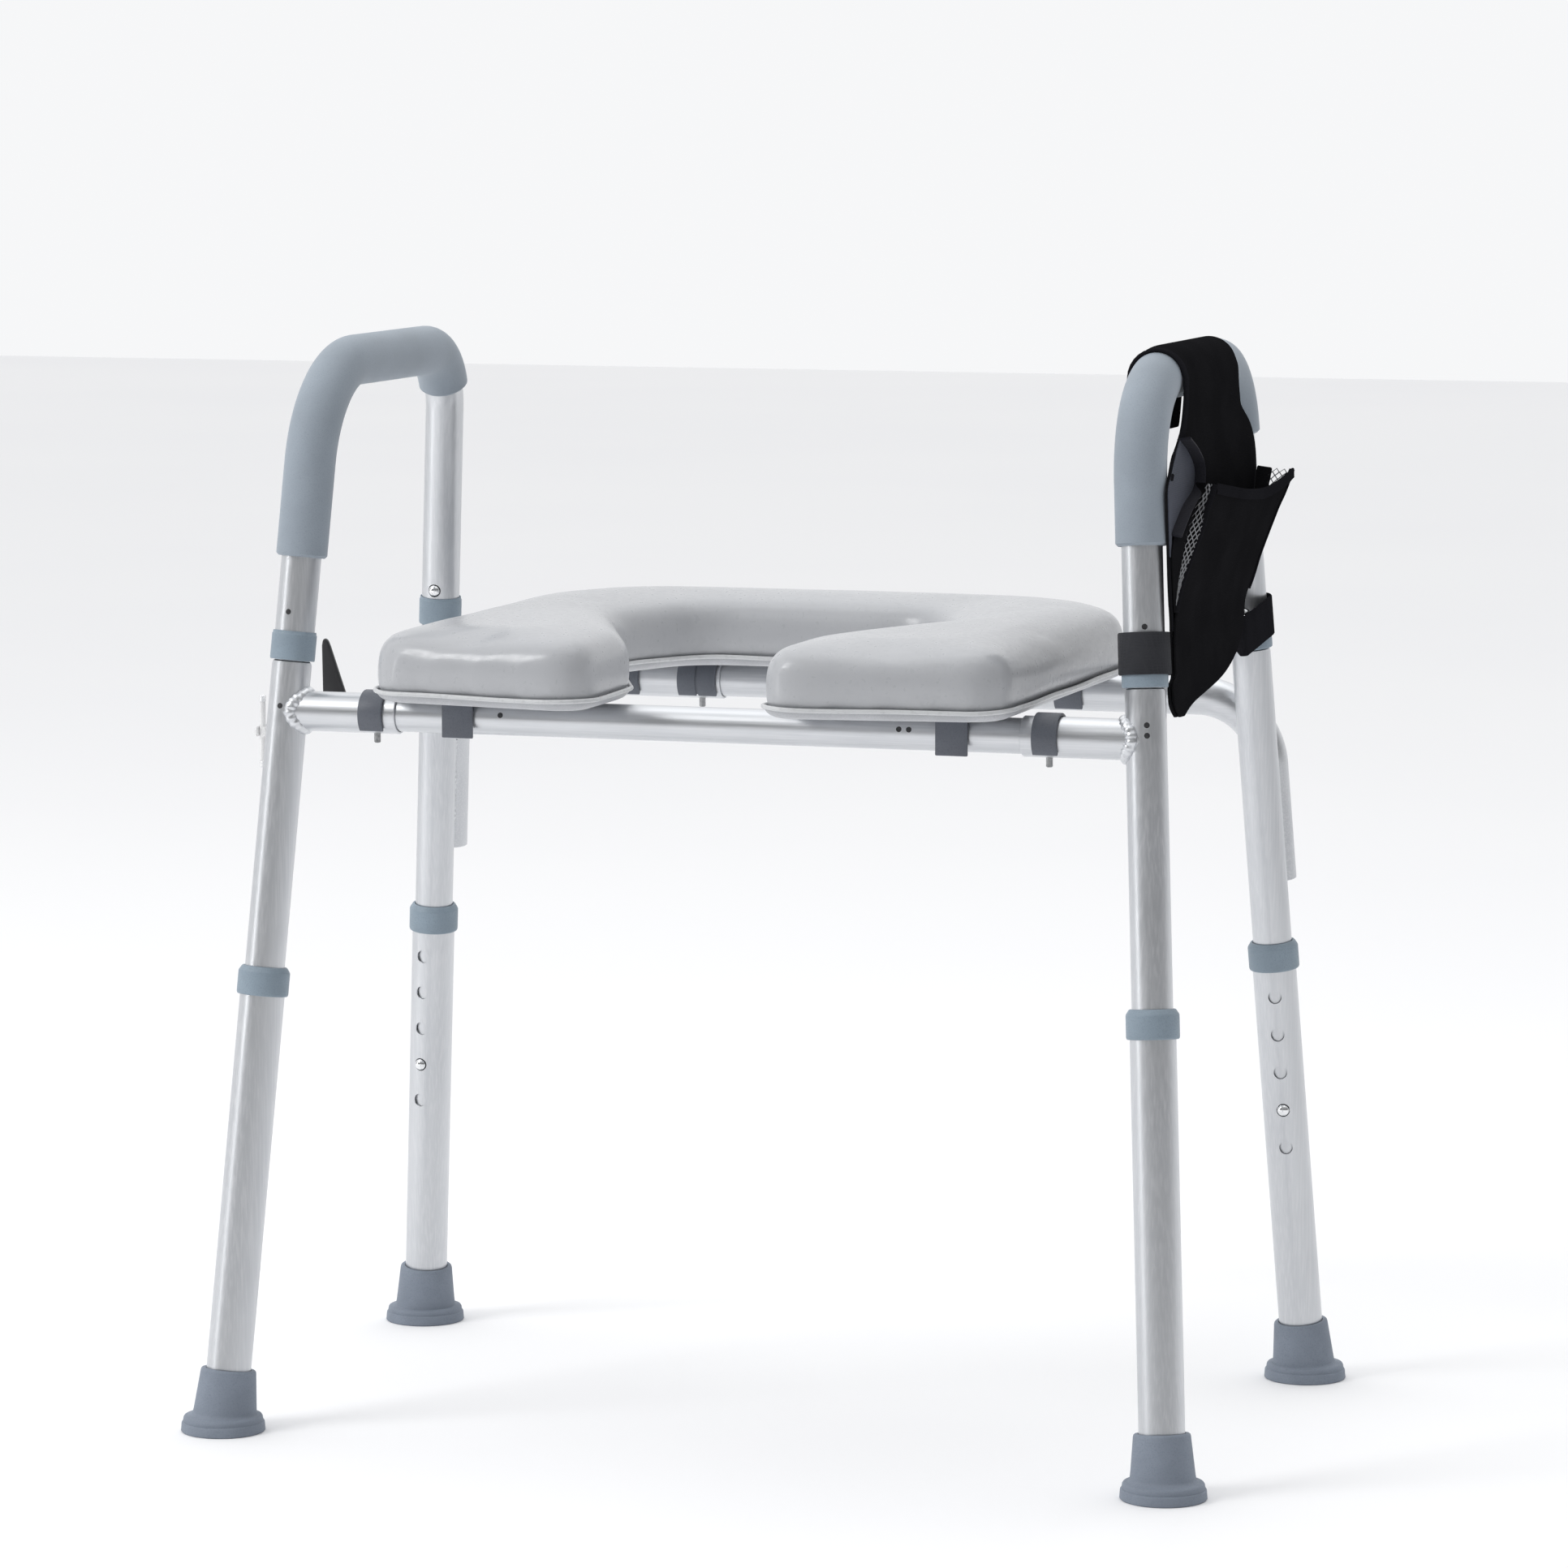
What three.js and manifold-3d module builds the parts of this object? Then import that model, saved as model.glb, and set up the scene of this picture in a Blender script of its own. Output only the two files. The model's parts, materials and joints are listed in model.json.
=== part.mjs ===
// Raised toilet seat with arm handles. A free-standing aluminium frame straddles the bowl, a padded
// open-front seat clips over its two cross bars, and each side has an arched arm handle.
// Millimetres, +Z up, the front of the seat faces -Y, the right-hand side is +X, the feet stand on z = 0.
import * as THREE from "three";
import { mergeVertices } from "three/addons/utils/BufferGeometryUtils.js";
import Module from "manifold-3d";

const wasm = await Module();
wasm.setup();
const V3 = THREE.Vector3;
const V2 = THREE.Vector2;
const RAD = Math.PI / 180;

// Legs: where each axis meets the floor, and how far it leans for each millimetre of height.
const LEGS = {
  front: { name: "front", x: 309.7, y: -183.7, leanX: -0.06, leanY: 0.115, faces: 1 },
  rear: { name: "rear", x: 312.6, y: 183.7, leanX: -0.063, leanY: -0.088, faces: -1 },
};
const SIDES = { left: -1, right: 1 };

// Tubes: outer radius and wall.
const FACETS = 16;
const LEG_R = 12.7;
const LOWER_R = 14.3;
const SPIGOT_R = 11.1;
const BAR_R = 11.1;
const WALL = 1.2;
const FIT = 0.45;

// Heights on the legs.
const LOWER_FOOT_Z = 10;
const LOWER_TOP_Z = 290;
const INNER_END_Z = 150;
const HOLE_Z = 185.1;
const HOLE_PITCH = 25.4;
const HOLES_ABOVE = 3;
const HOLES_BELOW = 1;
const HOLE_TURN = 9 * RAD;
const SHOULDER_Z = 498.6;
const SPIGOT_TOP_Z = 545;
const HANDLE_BUTTON_Z = 514.2;
const LOWER_COLLAR = { z: 277.5, height: 18.5, r: 16.5 };
const UPPER_COLLAR = { z: 490.3, height: 18.5, r: 14.3 };

// Feet.
const FOOT = { flangeR: 26.6, flangeZ: 4, shoulderR: 23.6, shoulderZ: 9, coneR: 21.5, topR: 17.3, topZ: 39 };

// Handles: one arched tube a side, with a foam grip over its front, top and part of its rear.
const HANDLE_AXIS_Z = 677.5;
const FRONT_BEND = 70;
const REAR_BEND = 45;
const GRIP_R = 16.3;
const GRIP_FROM = { left: 555.6, right: 576 };
const GRIP_REAR_CUT = 1;

// Cross bars.
const FRONT_BAR_Z = 458.5;
const REAR_BAR_Z = 454.6;
const FRONT_STUB_END = 205;
const FRONT_BAR_HALF = 261;
const REAR_STUB_END = 88;
const REAR_BAR_HALF = 224;
const REAR_TUBE_BACK = 25.7;
const REAR_TUBE_BEND = 47;
const REAR_TUBE_END_Z = 334;
const FRONT_LOCK_X = 221;
const REAR_LOCK_X = 104;
const LOCK_PIN_R = 2.1;

// Seat.
const SEAT_HALF = 208;
const SEAT_FRONT_Y = -212.5;
const SEAT_CORNER_Y = -190;
const SEAT_REAR_Y = 190;
const MOUTH_HALF = 54;
const BASE_Z = 471.6;
const BASE_TOP_Z = 477.6;
const PAD_Z = 477.9;
const PAD_TOP_Z = 518.5;
const FRONT_CLIP_X = 162;
const REAR_CLIP_X = 154.5;

const root = new THREE.Group();
root.name = "raised_toilet_seat";

const FINISH = {
  aluminium: [0xc9ccd0, 0.34, 0.9],
  grip: [0x8a96a0, 0.8, 0],
  collar: [0x7f8c96, 0.6, 0],
  rubber: [0x66727d, 0.8, 0],
  clip: [0x5a626c, 0.55, 0],
  steel: [0xd8d9da, 0.2, 1],
  vinyl: [0xbfc1c4, 0.4, 0],
  base: [0xc6c8ca, 0.5, 0],
  fabric: [0x141416, 0.9, 0],
  black: [0x1c1c1e, 0.5, 0],
  white: [0xeeeeee, 0.35, 0],
};

// A geometry as a solid that faces out.
function solid(geometry) {
  const loose = geometry.index ? geometry.toNonIndexed() : geometry;
  const bare = new THREE.BufferGeometry().setAttribute("position", loose.getAttribute("position"));
  const merged = mergeVertices(bare, 1e-4);
  const index = merged.index.array;
  const kept = [];
  for (let i = 0; i < index.length; i += 3) {
    const [a, b, c] = [index[i], index[i + 1], index[i + 2]];
    if (a !== b && b !== c && c !== a) kept.push(a, b, c);
  }
  const build = (list) =>
    new wasm.Manifold(
      new wasm.Mesh({
        numProp: 3,
        vertProperties: new Float32Array(merged.attributes.position.array),
        triVerts: new Uint32Array(list),
      }),
    );
  const made = build(kept);
  if (made.volume() >= 0) return made;
  const turned = [];
  for (let i = 0; i < kept.length; i += 3) turned.push(kept[i], kept[i + 2], kept[i + 1]);
  return build(turned);
}

function union(first, ...others) {
  return others.reduce((a, b) => a.add(b), first);
}

function cut(first, ...others) {
  return others.reduce((a, b) => a.subtract(b), first);
}

function piece(name, made, finish) {
  const mesh = made.getMesh();
  const geometry = new THREE.BufferGeometry();
  geometry.setAttribute("position", new THREE.BufferAttribute(mesh.vertProperties, 3));
  geometry.setIndex(new THREE.BufferAttribute(mesh.triVerts, 1));
  geometry.computeVertexNormals();
  const [color, roughness, metalness] = FINISH[finish];
  const object = new THREE.Mesh(geometry, new THREE.MeshStandardMaterial({ color, roughness, metalness }));
  object.name = name;
  root.add(object);
}

// A closed profile of [radius, height] turned about +Z.
function turned(profile, facets = FACETS) {
  const points = profile.map(([r, z]) => new V2(r, z));
  return new THREE.LatheGeometry(points, facets).rotateX(Math.PI / 2);
}

function ring(rOut, rIn, height, facets = FACETS) {
  return turned([[rIn, 0], [rOut, 0], [rOut, height], [rIn, height], [rIn, 0]], facets);
}

function rod(r, height, facets = FACETS) {
  return turned([[0, 0], [r, 0], [r, height], [0, height]], facets);
}

// A geometry that stands on the origin along +Z, moved to stand at a point along a direction.
function aim(geometry, from, direction) {
  const turn = new THREE.Quaternion().setFromUnitVectors(new V3(0, 0, 1), direction.clone().normalize());
  return geometry.applyQuaternion(turn).translate(from.x, from.y, from.z);
}

function block(x0, x1, y0, y1, z0, z1) {
  const box = new THREE.BoxGeometry(x1 - x0, y1 - y0, z1 - z0);
  return box.translate((x0 + x1) / 2, (y0 + y1) / 2, (z0 + z1) / 2);
}

// A flat outline of [u, v] pushed out to a thickness along +Z of its own frame.
function plate(outline, depth) {
  const shape = new THREE.Shape(outline.map(([u, v]) => new V2(u, v)));
  return new THREE.ExtrudeGeometry(shape, { depth, bevelEnabled: false });
}

// An outline drawn as (y, z) and pushed out along +X from x0.
function plateX(outline, x0, depth) {
  const turn = new THREE.Matrix4().set(0, 0, 1, x0, 1, 0, 0, 0, 0, 1, 0, 0, 0, 0, 0, 1);
  return plate(outline, depth).applyMatrix4(turn);
}

// An outline drawn as (x, z) and pushed out along +Y from y0.
function plateY(outline, y0, depth) {
  const turn = new THREE.Matrix4().set(1, 0, 0, 0, 0, 0, 1, y0, 0, 1, 0, 0, 0, 0, 0, 1);
  return plate(outline, depth).applyMatrix4(turn);
}

// A C of band metal or plastic: angles in degrees, from one lip round to the other.
function bandOutline(rIn, rOut, from, to, steps) {
  const out = [];
  const back = [];
  for (let i = 0; i <= steps; i += 1) {
    const a = (from + ((to - from) * i) / steps) * RAD;
    out.push([rOut * Math.cos(a), rOut * Math.sin(a)]);
    back.unshift([rIn * Math.cos(a), rIn * Math.sin(a)]);
  }
  return out.concat(back);
}

// ---- Leg axes ----
function legPoint(leg, side, z) {
  return new V3(side * (leg.x + leg.leanX * z), leg.y + leg.leanY * z, z);
}

function legDirection(leg, side) {
  return new V3(side * leg.leanX, leg.leanY, 1).normalize();
}

function legSideways(leg, side) {
  const along = legDirection(leg, side);
  return new V3(0, 1, 0).addScaledVector(along, -along.y).normalize();
}

function legLength(leg, z0, z1) {
  return (z1 - z0) * Math.hypot(leg.leanX, leg.leanY, 1);
}

function onLeg(geometry, leg, side, z) {
  const along = legDirection(leg, side);
  const back = legSideways(leg, side);
  const across = new V3().crossVectors(back, along);
  const frame = new THREE.Matrix4().makeBasis(across, back, along);
  const p = legPoint(leg, side, z);
  return geometry.applyMatrix4(frame).translate(p.x, p.y, p.z);
}

// Which way a leg's spring buttons point: each pair faces each other, the leg ones turned a little outward.
function buttonDirection(leg, side, turn) {
  const back = legSideways(leg, side);
  const along = legDirection(leg, side);
  const across = new V3().crossVectors(back, along);
  return new V3()
    .addScaledVector(back, leg.faces * Math.cos(turn))
    .addScaledVector(across, side * Math.sin(turn))
    .normalize();
}

function buttonHole(leg, side, z, turn) {
  const p = legPoint(leg, side, z);
  return solid(aim(rod(4.8, 24, 6), p, buttonDirection(leg, side, turn)));
}

// A spring button: domed head, shank, and a collar behind the wall that keeps it in.
function buttonSolid(leg, side, z, turn, reach, collarAt) {
  const head = [
    [0, collarAt - 1.8],
    [5, collarAt - 1.8],
    [5, collarAt],
    [3.9, collarAt],
    [3.9, reach - 1.2],
    [2.6, reach - 0.3],
    [0, reach],
  ];
  return solid(aim(turned(head, 8), legPoint(leg, side, z), buttonDirection(leg, side, turn)));
}

// ---- Swept tubes ----
function arc(corner, towards, away, radius, steps) {
  const half = Math.acos(Math.max(-1, Math.min(1, towards.dot(away)))) / 2;
  const reach = radius / Math.tan(half);
  const start = corner.clone().addScaledVector(towards, reach);
  const end = corner.clone().addScaledVector(away, reach);
  const middle = towards.clone().add(away).normalize();
  const centre = corner.clone().addScaledVector(middle, radius / Math.sin(half));
  const a = start.clone().sub(centre);
  const b = end.clone().sub(centre);
  const sweep = Math.PI - 2 * half;
  const points = [];
  for (let i = 0; i <= steps; i += 1) {
    const t = i / steps;
    const ka = Math.sin((1 - t) * sweep) / Math.sin(sweep);
    const kb = Math.sin(t * sweep) / Math.sin(sweep);
    const at = a.clone().multiplyScalar(ka).addScaledVector(b, kb).add(centre);
    const ta = -Math.cos((1 - t) * sweep);
    const tb = Math.cos(t * sweep);
    const tangent = a.clone().multiplyScalar(ta).addScaledVector(b, tb).normalize();
    points.push({ at, tangent });
  }
  return points;
}

// A round tube through the path, open at both ends; rIn of 0 makes a solid rod.
function swept(path, rOut, rIn, facets = FACETS) {
  const position = [];
  const rings = [];
  let across = new V3(0, 1, 0).cross(path[0].tangent);
  if (across.length() < 0.5) across = new V3(0, 0, 1).cross(path[0].tangent);
  for (const { at, tangent } of path) {
    across = across.addScaledVector(tangent, -across.dot(tangent)).normalize();
    const up = new V3().crossVectors(tangent, across);
    rings.push({ at, across: across.clone(), up });
  }
  const corner = (i, k, r) => {
    const a = (2 * Math.PI * (k % facets)) / facets;
    const { at, across: u, up } = rings[i];
    return at.clone().addScaledVector(u, r * Math.cos(a)).addScaledVector(up, r * Math.sin(a));
  };
  const quad = (a, b, c, d) => {
    for (const p of [a, b, c, a, c, d]) position.push(p.x, p.y, p.z);
  };
  const last = rings.length - 1;
  for (let k = 0; k < facets; k += 1) {
    for (let i = 0; i < last; i += 1) {
      quad(corner(i, k, rOut), corner(i, k + 1, rOut), corner(i + 1, k + 1, rOut), corner(i + 1, k, rOut));
      quad(corner(i, k + 1, rIn), corner(i, k, rIn), corner(i + 1, k, rIn), corner(i + 1, k + 1, rIn));
    }
    quad(corner(0, k + 1, rOut), corner(0, k, rOut), corner(0, k, rIn), corner(0, k + 1, rIn));
    quad(corner(last, k, rOut), corner(last, k + 1, rOut), corner(last, k + 1, rIn), corner(last, k, rIn));
  }
  const geometry = new THREE.BufferGeometry();
  geometry.setAttribute("position", new THREE.Float32BufferAttribute(position, 3));
  return geometry;
}

function handlePath(side, fromFrontZ, toRearZ, rearCut = 0) {
  const { front, rear } = LEGS;
  const cornerA = legPoint(front, side, HANDLE_AXIS_Z);
  const cornerB = legPoint(rear, side, HANDLE_AXIS_Z);
  const downA = legDirection(front, side).negate();
  const downB = legDirection(rear, side).negate();
  const top = cornerB.clone().sub(cornerA).normalize();
  const bendA = arc(cornerA, downA, top, FRONT_BEND, 5);
  const bendB = arc(cornerB, top.clone().negate(), downB, REAR_BEND, 4);
  const path = [{ at: legPoint(front, side, fromFrontZ), tangent: downA.clone().negate() }];
  path.push(...bendA, ...bendB.slice(0, bendB.length - rearCut));
  if (!rearCut) path.push({ at: legPoint(rear, side, toRearZ), tangent: downB.clone() });
  return path;
}

// ---- The rear side tube's corner, which also gives the rear bar its line ----
function rearCorner(side) {
  const { rear } = LEGS;
  const back = legSideways(rear, side);
  const z = REAR_BAR_Z - back.z * REAR_TUBE_BACK;
  return legPoint(rear, side, z).addScaledVector(back, REAR_TUBE_BACK);
}
const REAR_BAR_Y = rearCorner(1).y;
const FRONT_BAR_Y = legPoint(LEGS.front, 1, FRONT_BAR_Z).y;

// ---- Leg and foot nodes ----
for (const [sideName, side] of Object.entries(SIDES)) {
  for (const leg of Object.values(LEGS)) {
    const tag = `${leg.name}_${sideName}`;
    const up = (z0, z1) => legLength(leg, z0, z1);

    // inner tube: plain up to the collar, then drawn down to a spigot that fills the handle's end
    const shoulder = up(INNER_END_Z, SHOULDER_Z);
    const top = up(INNER_END_Z, SPIGOT_TOP_Z);
    const profile = [
      [LEG_R - WALL, 0],
      [LEG_R, 0],
      [LEG_R, shoulder],
      [SPIGOT_R, shoulder + 0.1],
      [SPIGOT_R, top],
      [SPIGOT_R - WALL, top],
      [SPIGOT_R - WALL, shoulder - 3],
      [LEG_R - WALL, shoulder - 5],
      [LEG_R - WALL, 0],
    ];
    let inner = solid(onLeg(turned(profile), leg, side, INNER_END_Z));
    inner = cut(
      inner,
      buttonHole(leg, side, HOLE_Z, HOLE_TURN),
      buttonHole(leg, side, HANDLE_BUTTON_Z, 0),
    );
    if (leg.name === "front") {
      const axis = legPoint(leg, side, FRONT_BAR_Z);
      const from = new V3(side * FRONT_STUB_END, FRONT_BAR_Y, FRONT_BAR_Z);
      const run = Math.abs(axis.x) - FRONT_STUB_END;
      const outward = new V3(side, 0, 0);
      const core = solid(onLeg(rod(LEG_R - 0.5, 80), leg, side, FRONT_BAR_Z - 40));
      const bore = solid(onLeg(rod(LEG_R - WALL, 80), leg, side, FRONT_BAR_Z - 40));
      const stub = cut(solid(aim(ring(LEG_R, LEG_R - WALL, run), from, outward)), core);
      // the weld: a raised saddle where the stub meets the leg
      const flank = new V3(side * (Math.abs(axis.x) - 22), FRONT_BAR_Y, FRONT_BAR_Z);
      const saddle = solid(aim(ring(LEG_R + 3, LEG_R - 0.6, 20, 10), flank, outward));
      const wrap = solid(onLeg(rod(LEG_R + 4.2, 80, 10), leg, side, FRONT_BAR_Z - 40));
      const weld = cut(saddle.intersect(wrap), core);
      const pinHole = aim(
        rod(LOCK_PIN_R + 0.5, 40, 8),
        new V3(side * FRONT_LOCK_X, FRONT_BAR_Y, FRONT_BAR_Z - 20),
        new V3(0, 0, 1),
      );
      inner = cut(union(inner, stub, weld), bore, solid(pinHole));
    } else {
      const corner = rearCorner(side);
      const down = legDirection(leg, side).negate();
      const inward = new V3(-side, 0, 0);
      const bend = arc(corner, inward, down, REAR_TUBE_BEND, 5);
      const start = new V3(side * REAR_STUB_END, corner.y, corner.z);
      const end = corner.clone().addScaledVector(down, up(REAR_TUBE_END_Z, REAR_BAR_Z));
      const path = [{ at: start, tangent: inward.clone().negate() }, ...bend, { at: end, tangent: down }];
      const tube = solid(swept(path, LEG_R, LEG_R - WALL));
      const pinHole = aim(
        rod(LOCK_PIN_R + 0.5, 40, 8),
        new V3(side * REAR_LOCK_X, corner.y, corner.z - 20),
        new V3(0, 0, 1),
      );
      const beads = [-1, 1].map((s) =>
        solid(onLeg(rod(3, 58, 8).translate(7 * s, REAR_TUBE_BACK / 2, 0), leg, side, 350)),
      );
      inner = cut(union(inner, tube, ...beads), solid(pinHole));
    }
    piece(`leg_tube_${tag}`, inner, "aluminium");

    // lower tube with its row of height holes
    const pitch = HOLE_PITCH / Math.hypot(leg.leanX, leg.leanY, 1);
    const pipe = ring(LOWER_R, LOWER_R - WALL, up(LOWER_FOOT_Z, LOWER_TOP_Z));
    let lower = solid(onLeg(pipe, leg, side, LOWER_FOOT_Z));
    for (let k = -HOLES_BELOW; k <= HOLES_ABOVE; k += 1) {
      lower = lower.subtract(buttonHole(leg, side, HOLE_Z + k * pitch, HOLE_TURN));
    }
    piece(`leg_extension_${tag}`, lower, "aluminium");
    piece(
      `leg_button_${tag}`,
      buttonSolid(leg, side, HOLE_Z, HOLE_TURN, LOWER_R + 2.6, 9.2),
      "steel",
    );

    // lower collar: caps the lower tube and steadies the inner one
    const c = LOWER_COLLAR;
    const step = up(c.z, LOWER_TOP_Z) + 0.35;
    const cap = [
      [LOWER_R + FIT, 0],
      [c.r, 0],
      [c.r, c.height - 1],
      [c.r - 1, c.height],
      [LEG_R + FIT, c.height],
      [LEG_R + FIT, step],
      [LOWER_R + FIT, step],
      [LOWER_R + FIT, 0],
    ];
    piece(`lower_collar_${tag}`, solid(onLeg(turned(cap), leg, side, c.z)), "collar");

    // foot: a flared rubber tip, cut flat where it meets the floor
    const f = FOOT;
    const flange = solid(
      turned([
        [0, 0],
        [f.flangeR, 0],
        [f.flangeR, f.flangeZ],
        [f.shoulderR, f.shoulderZ],
        [0, f.shoulderZ],
      ]).translate(side * leg.x, leg.y, 0),
    );
    const cone = solid(
      onLeg(turned([[0, 0], [f.coneR, 0], [f.topR, f.topZ], [0, f.topZ]]), leg, side, 0),
    );
    const floor = solid(block(-400, 400, -300, 300, 0, 60));
    const socket = solid(onLeg(rod(LOWER_R + FIT, 60), leg, side, LOWER_FOOT_Z - 0.4));
    piece(`foot_${tag}`, cut(union(flange, cone.intersect(floor)), socket), "rubber");

    // upper collar, over the joint between leg and handle
    const u = UPPER_COLLAR;
    piece(
      `upper_collar_${tag}`,
      solid(onLeg(ring(u.r, LEG_R + FIT, u.height), leg, side, u.z)),
      "collar",
    );
    piece(
      `handle_button_${tag}`,
      buttonSolid(leg, side, HANDLE_BUTTON_Z, 0, LEG_R + 2.4, 7.6),
      "steel",
    );
  }

  // arm handle and its foam grip
  let handle = solid(swept(handlePath(side, SHOULDER_Z + 0.6, SHOULDER_Z + 0.6), LEG_R, LEG_R - WALL));
  handle = cut(
    handle,
    buttonHole(LEGS.front, side, HANDLE_BUTTON_Z, 0),
    buttonHole(LEGS.rear, side, HANDLE_BUTTON_Z, 0),
  );
  piece(`handle_tube_${sideName}`, handle, "aluminium");
  const cutShort = sideName === "left" ? GRIP_REAR_CUT : 0;
  const gripPath = handlePath(side, GRIP_FROM[sideName], 630, cutShort);
  piece(`handle_grip_${sideName}`, solid(swept(gripPath, GRIP_R, LEG_R + FIT)), "grip");
}

// ---- Cross bars and their lock clips ----
function crossBar(name, half, y, z, lockX) {
  const tube = aim(ring(BAR_R, BAR_R - WALL, 2 * half), new V3(-half, y, z), new V3(1, 0, 0));
  const holes = [-1, 1].map((s) =>
    solid(aim(rod(LOCK_PIN_R + 0.5, 40, 8), new V3(s * lockX, y, z - 20), new V3(0, 0, 1))),
  );
  piece(name, cut(solid(tube), ...holes), "aluminium");
}
crossBar("cross_bar_front", FRONT_BAR_HALF, FRONT_BAR_Y, FRONT_BAR_Z, FRONT_LOCK_X);
crossBar("cross_bar_rear", REAR_BAR_HALF, REAR_BAR_Y, REAR_BAR_Z, REAR_LOCK_X);

// A lock clip: a C band snapped over the tube, open below, with a pin that runs down through both tubes.
function lockClip(name, x, y, z, width) {
  const outline = bandOutline(LEG_R + 0.5, LEG_R + 2.3, -45, 225, 12).map(([u, v]) => [y + u, z + v]);
  const band = solid(plateX(outline, x - width / 2, width));
  const top = LEG_R + 1.4;
  const pin = solid(aim(rod(LOCK_PIN_R, top + LEG_R + 6, 8), new V3(x, y, z - LEG_R - 6), new V3(0, 0, 1)));
  piece(name, union(band, pin), "clip");
}
for (const [sideName, side] of Object.entries(SIDES)) {
  lockClip(`lock_clip_front_${sideName}`, side * FRONT_LOCK_X, FRONT_BAR_Y, FRONT_BAR_Z, 16);
  lockClip(`lock_clip_rear_${sideName}`, side * REAR_LOCK_X, REAR_BAR_Y, REAR_BAR_Z, 27);
}

// ---- Seat ----
// Corners of the seat seen from above, anticlockwise, each with its rounding radius.
function seatCorners() {
  const right = [
    [MOUTH_HALF, SEAT_FRONT_Y, 24],
    [SEAT_HALF, SEAT_CORNER_Y, 30],
    [SEAT_HALF, SEAT_REAR_Y, 100],
  ];
  const hole = [
    [82, 94, 34],
    [112, 20, 50],
    [MOUTH_HALF, -118, 60],
  ];
  const flip = ([x, y, r]) => [-x, y, r];
  const outer = [...right, ...right.map(flip).reverse()];
  const inner = [...hole.map(flip).reverse(), ...hole];
  return [...outer, ...inner];
}

// The rounded outline as points with their outward directions.
function seatOutline() {
  const corners = seatCorners();
  const points = [];
  corners.forEach(([x, y, r], i) => {
    const before = corners[(i + corners.length - 1) % corners.length];
    const after = corners[(i + 1) % corners.length];
    const here = new V2(x, y);
    const inDir = here.clone().sub(new V2(before[0], before[1])).normalize();
    const outDir = new V2(after[0], after[1]).sub(here).normalize();
    const turn = Math.atan2(inDir.cross(outDir), inDir.dot(outDir));
    const reach = r * Math.tan(Math.abs(turn) / 2);
    const bend = Math.sign(turn);
    const start = here.clone().addScaledVector(inDir, -reach);
    const left = new V2(-inDir.y, inDir.x);
    const centre = start.clone().addScaledVector(left, r * bend);
    const steps = Math.max(2, Math.round(Math.abs(turn) / (19 * RAD)));
    for (let k = 0; k <= steps; k += 1) {
      const spoke = start.clone().sub(centre).rotateAround(new V2(0, 0), (turn * k) / steps);
      const at = centre.clone().add(spoke);
      points.push({ at, out: spoke.normalize().multiplyScalar(bend) });
    }
  });
  return points;
}

// A solid of stacked outlines, each level given as [height, inset].
function stacked(levels) {
  const outline = seatOutline();
  const count = outline.length;
  const inset = (k, d) => {
    const { at, out } = outline[k % count];
    return new V2(at.x - out.x * d, at.y - out.y * d);
  };
  const position = [];
  const push = (p, z) => position.push(p.x, p.y, z);
  for (let i = 0; i + 1 < levels.length; i += 1) {
    const [z0, d0] = levels[i];
    const [z1, d1] = levels[i + 1];
    for (let k = 0; k < count; k += 1) {
      const low = [[inset(k, d0), z0], [inset(k + 1, d0), z0]];
      const corners = [...low, [inset(k + 1, d1), z1], [inset(k, d1), z1]];
      for (const j of [0, 1, 2, 0, 2, 3]) push(...corners[j]);
    }
  }
  const cap = ([z, d], up) => {
    const flat = outline.map((_, k) => inset(k, d));
    for (const [a, b, c] of THREE.ShapeUtils.triangulateShape(flat, [])) {
      for (const j of up ? [a, b, c] : [a, c, b]) push(flat[j], z);
    }
  };
  cap(levels[0], false);
  cap(levels[levels.length - 1], true);
  const geometry = new THREE.BufferGeometry();
  geometry.setAttribute("position", new THREE.Float32BufferAttribute(position, 3));
  return solid(geometry);
}

piece("seat_base", stacked([[BASE_Z, 9], [BASE_Z + 1.6, 4.5], [BASE_TOP_Z, 1]]), "base");
piece(
  "seat_pad",
  stacked([
    [PAD_Z, 1],
    [PAD_Z + 6, 0],
    [PAD_TOP_Z - 17, 0.8],
    [PAD_TOP_Z - 8, 4.5],
    [PAD_TOP_Z - 2.5, 11],
    [PAD_TOP_Z, 21],
  ]),
  "vinyl",
);

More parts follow.
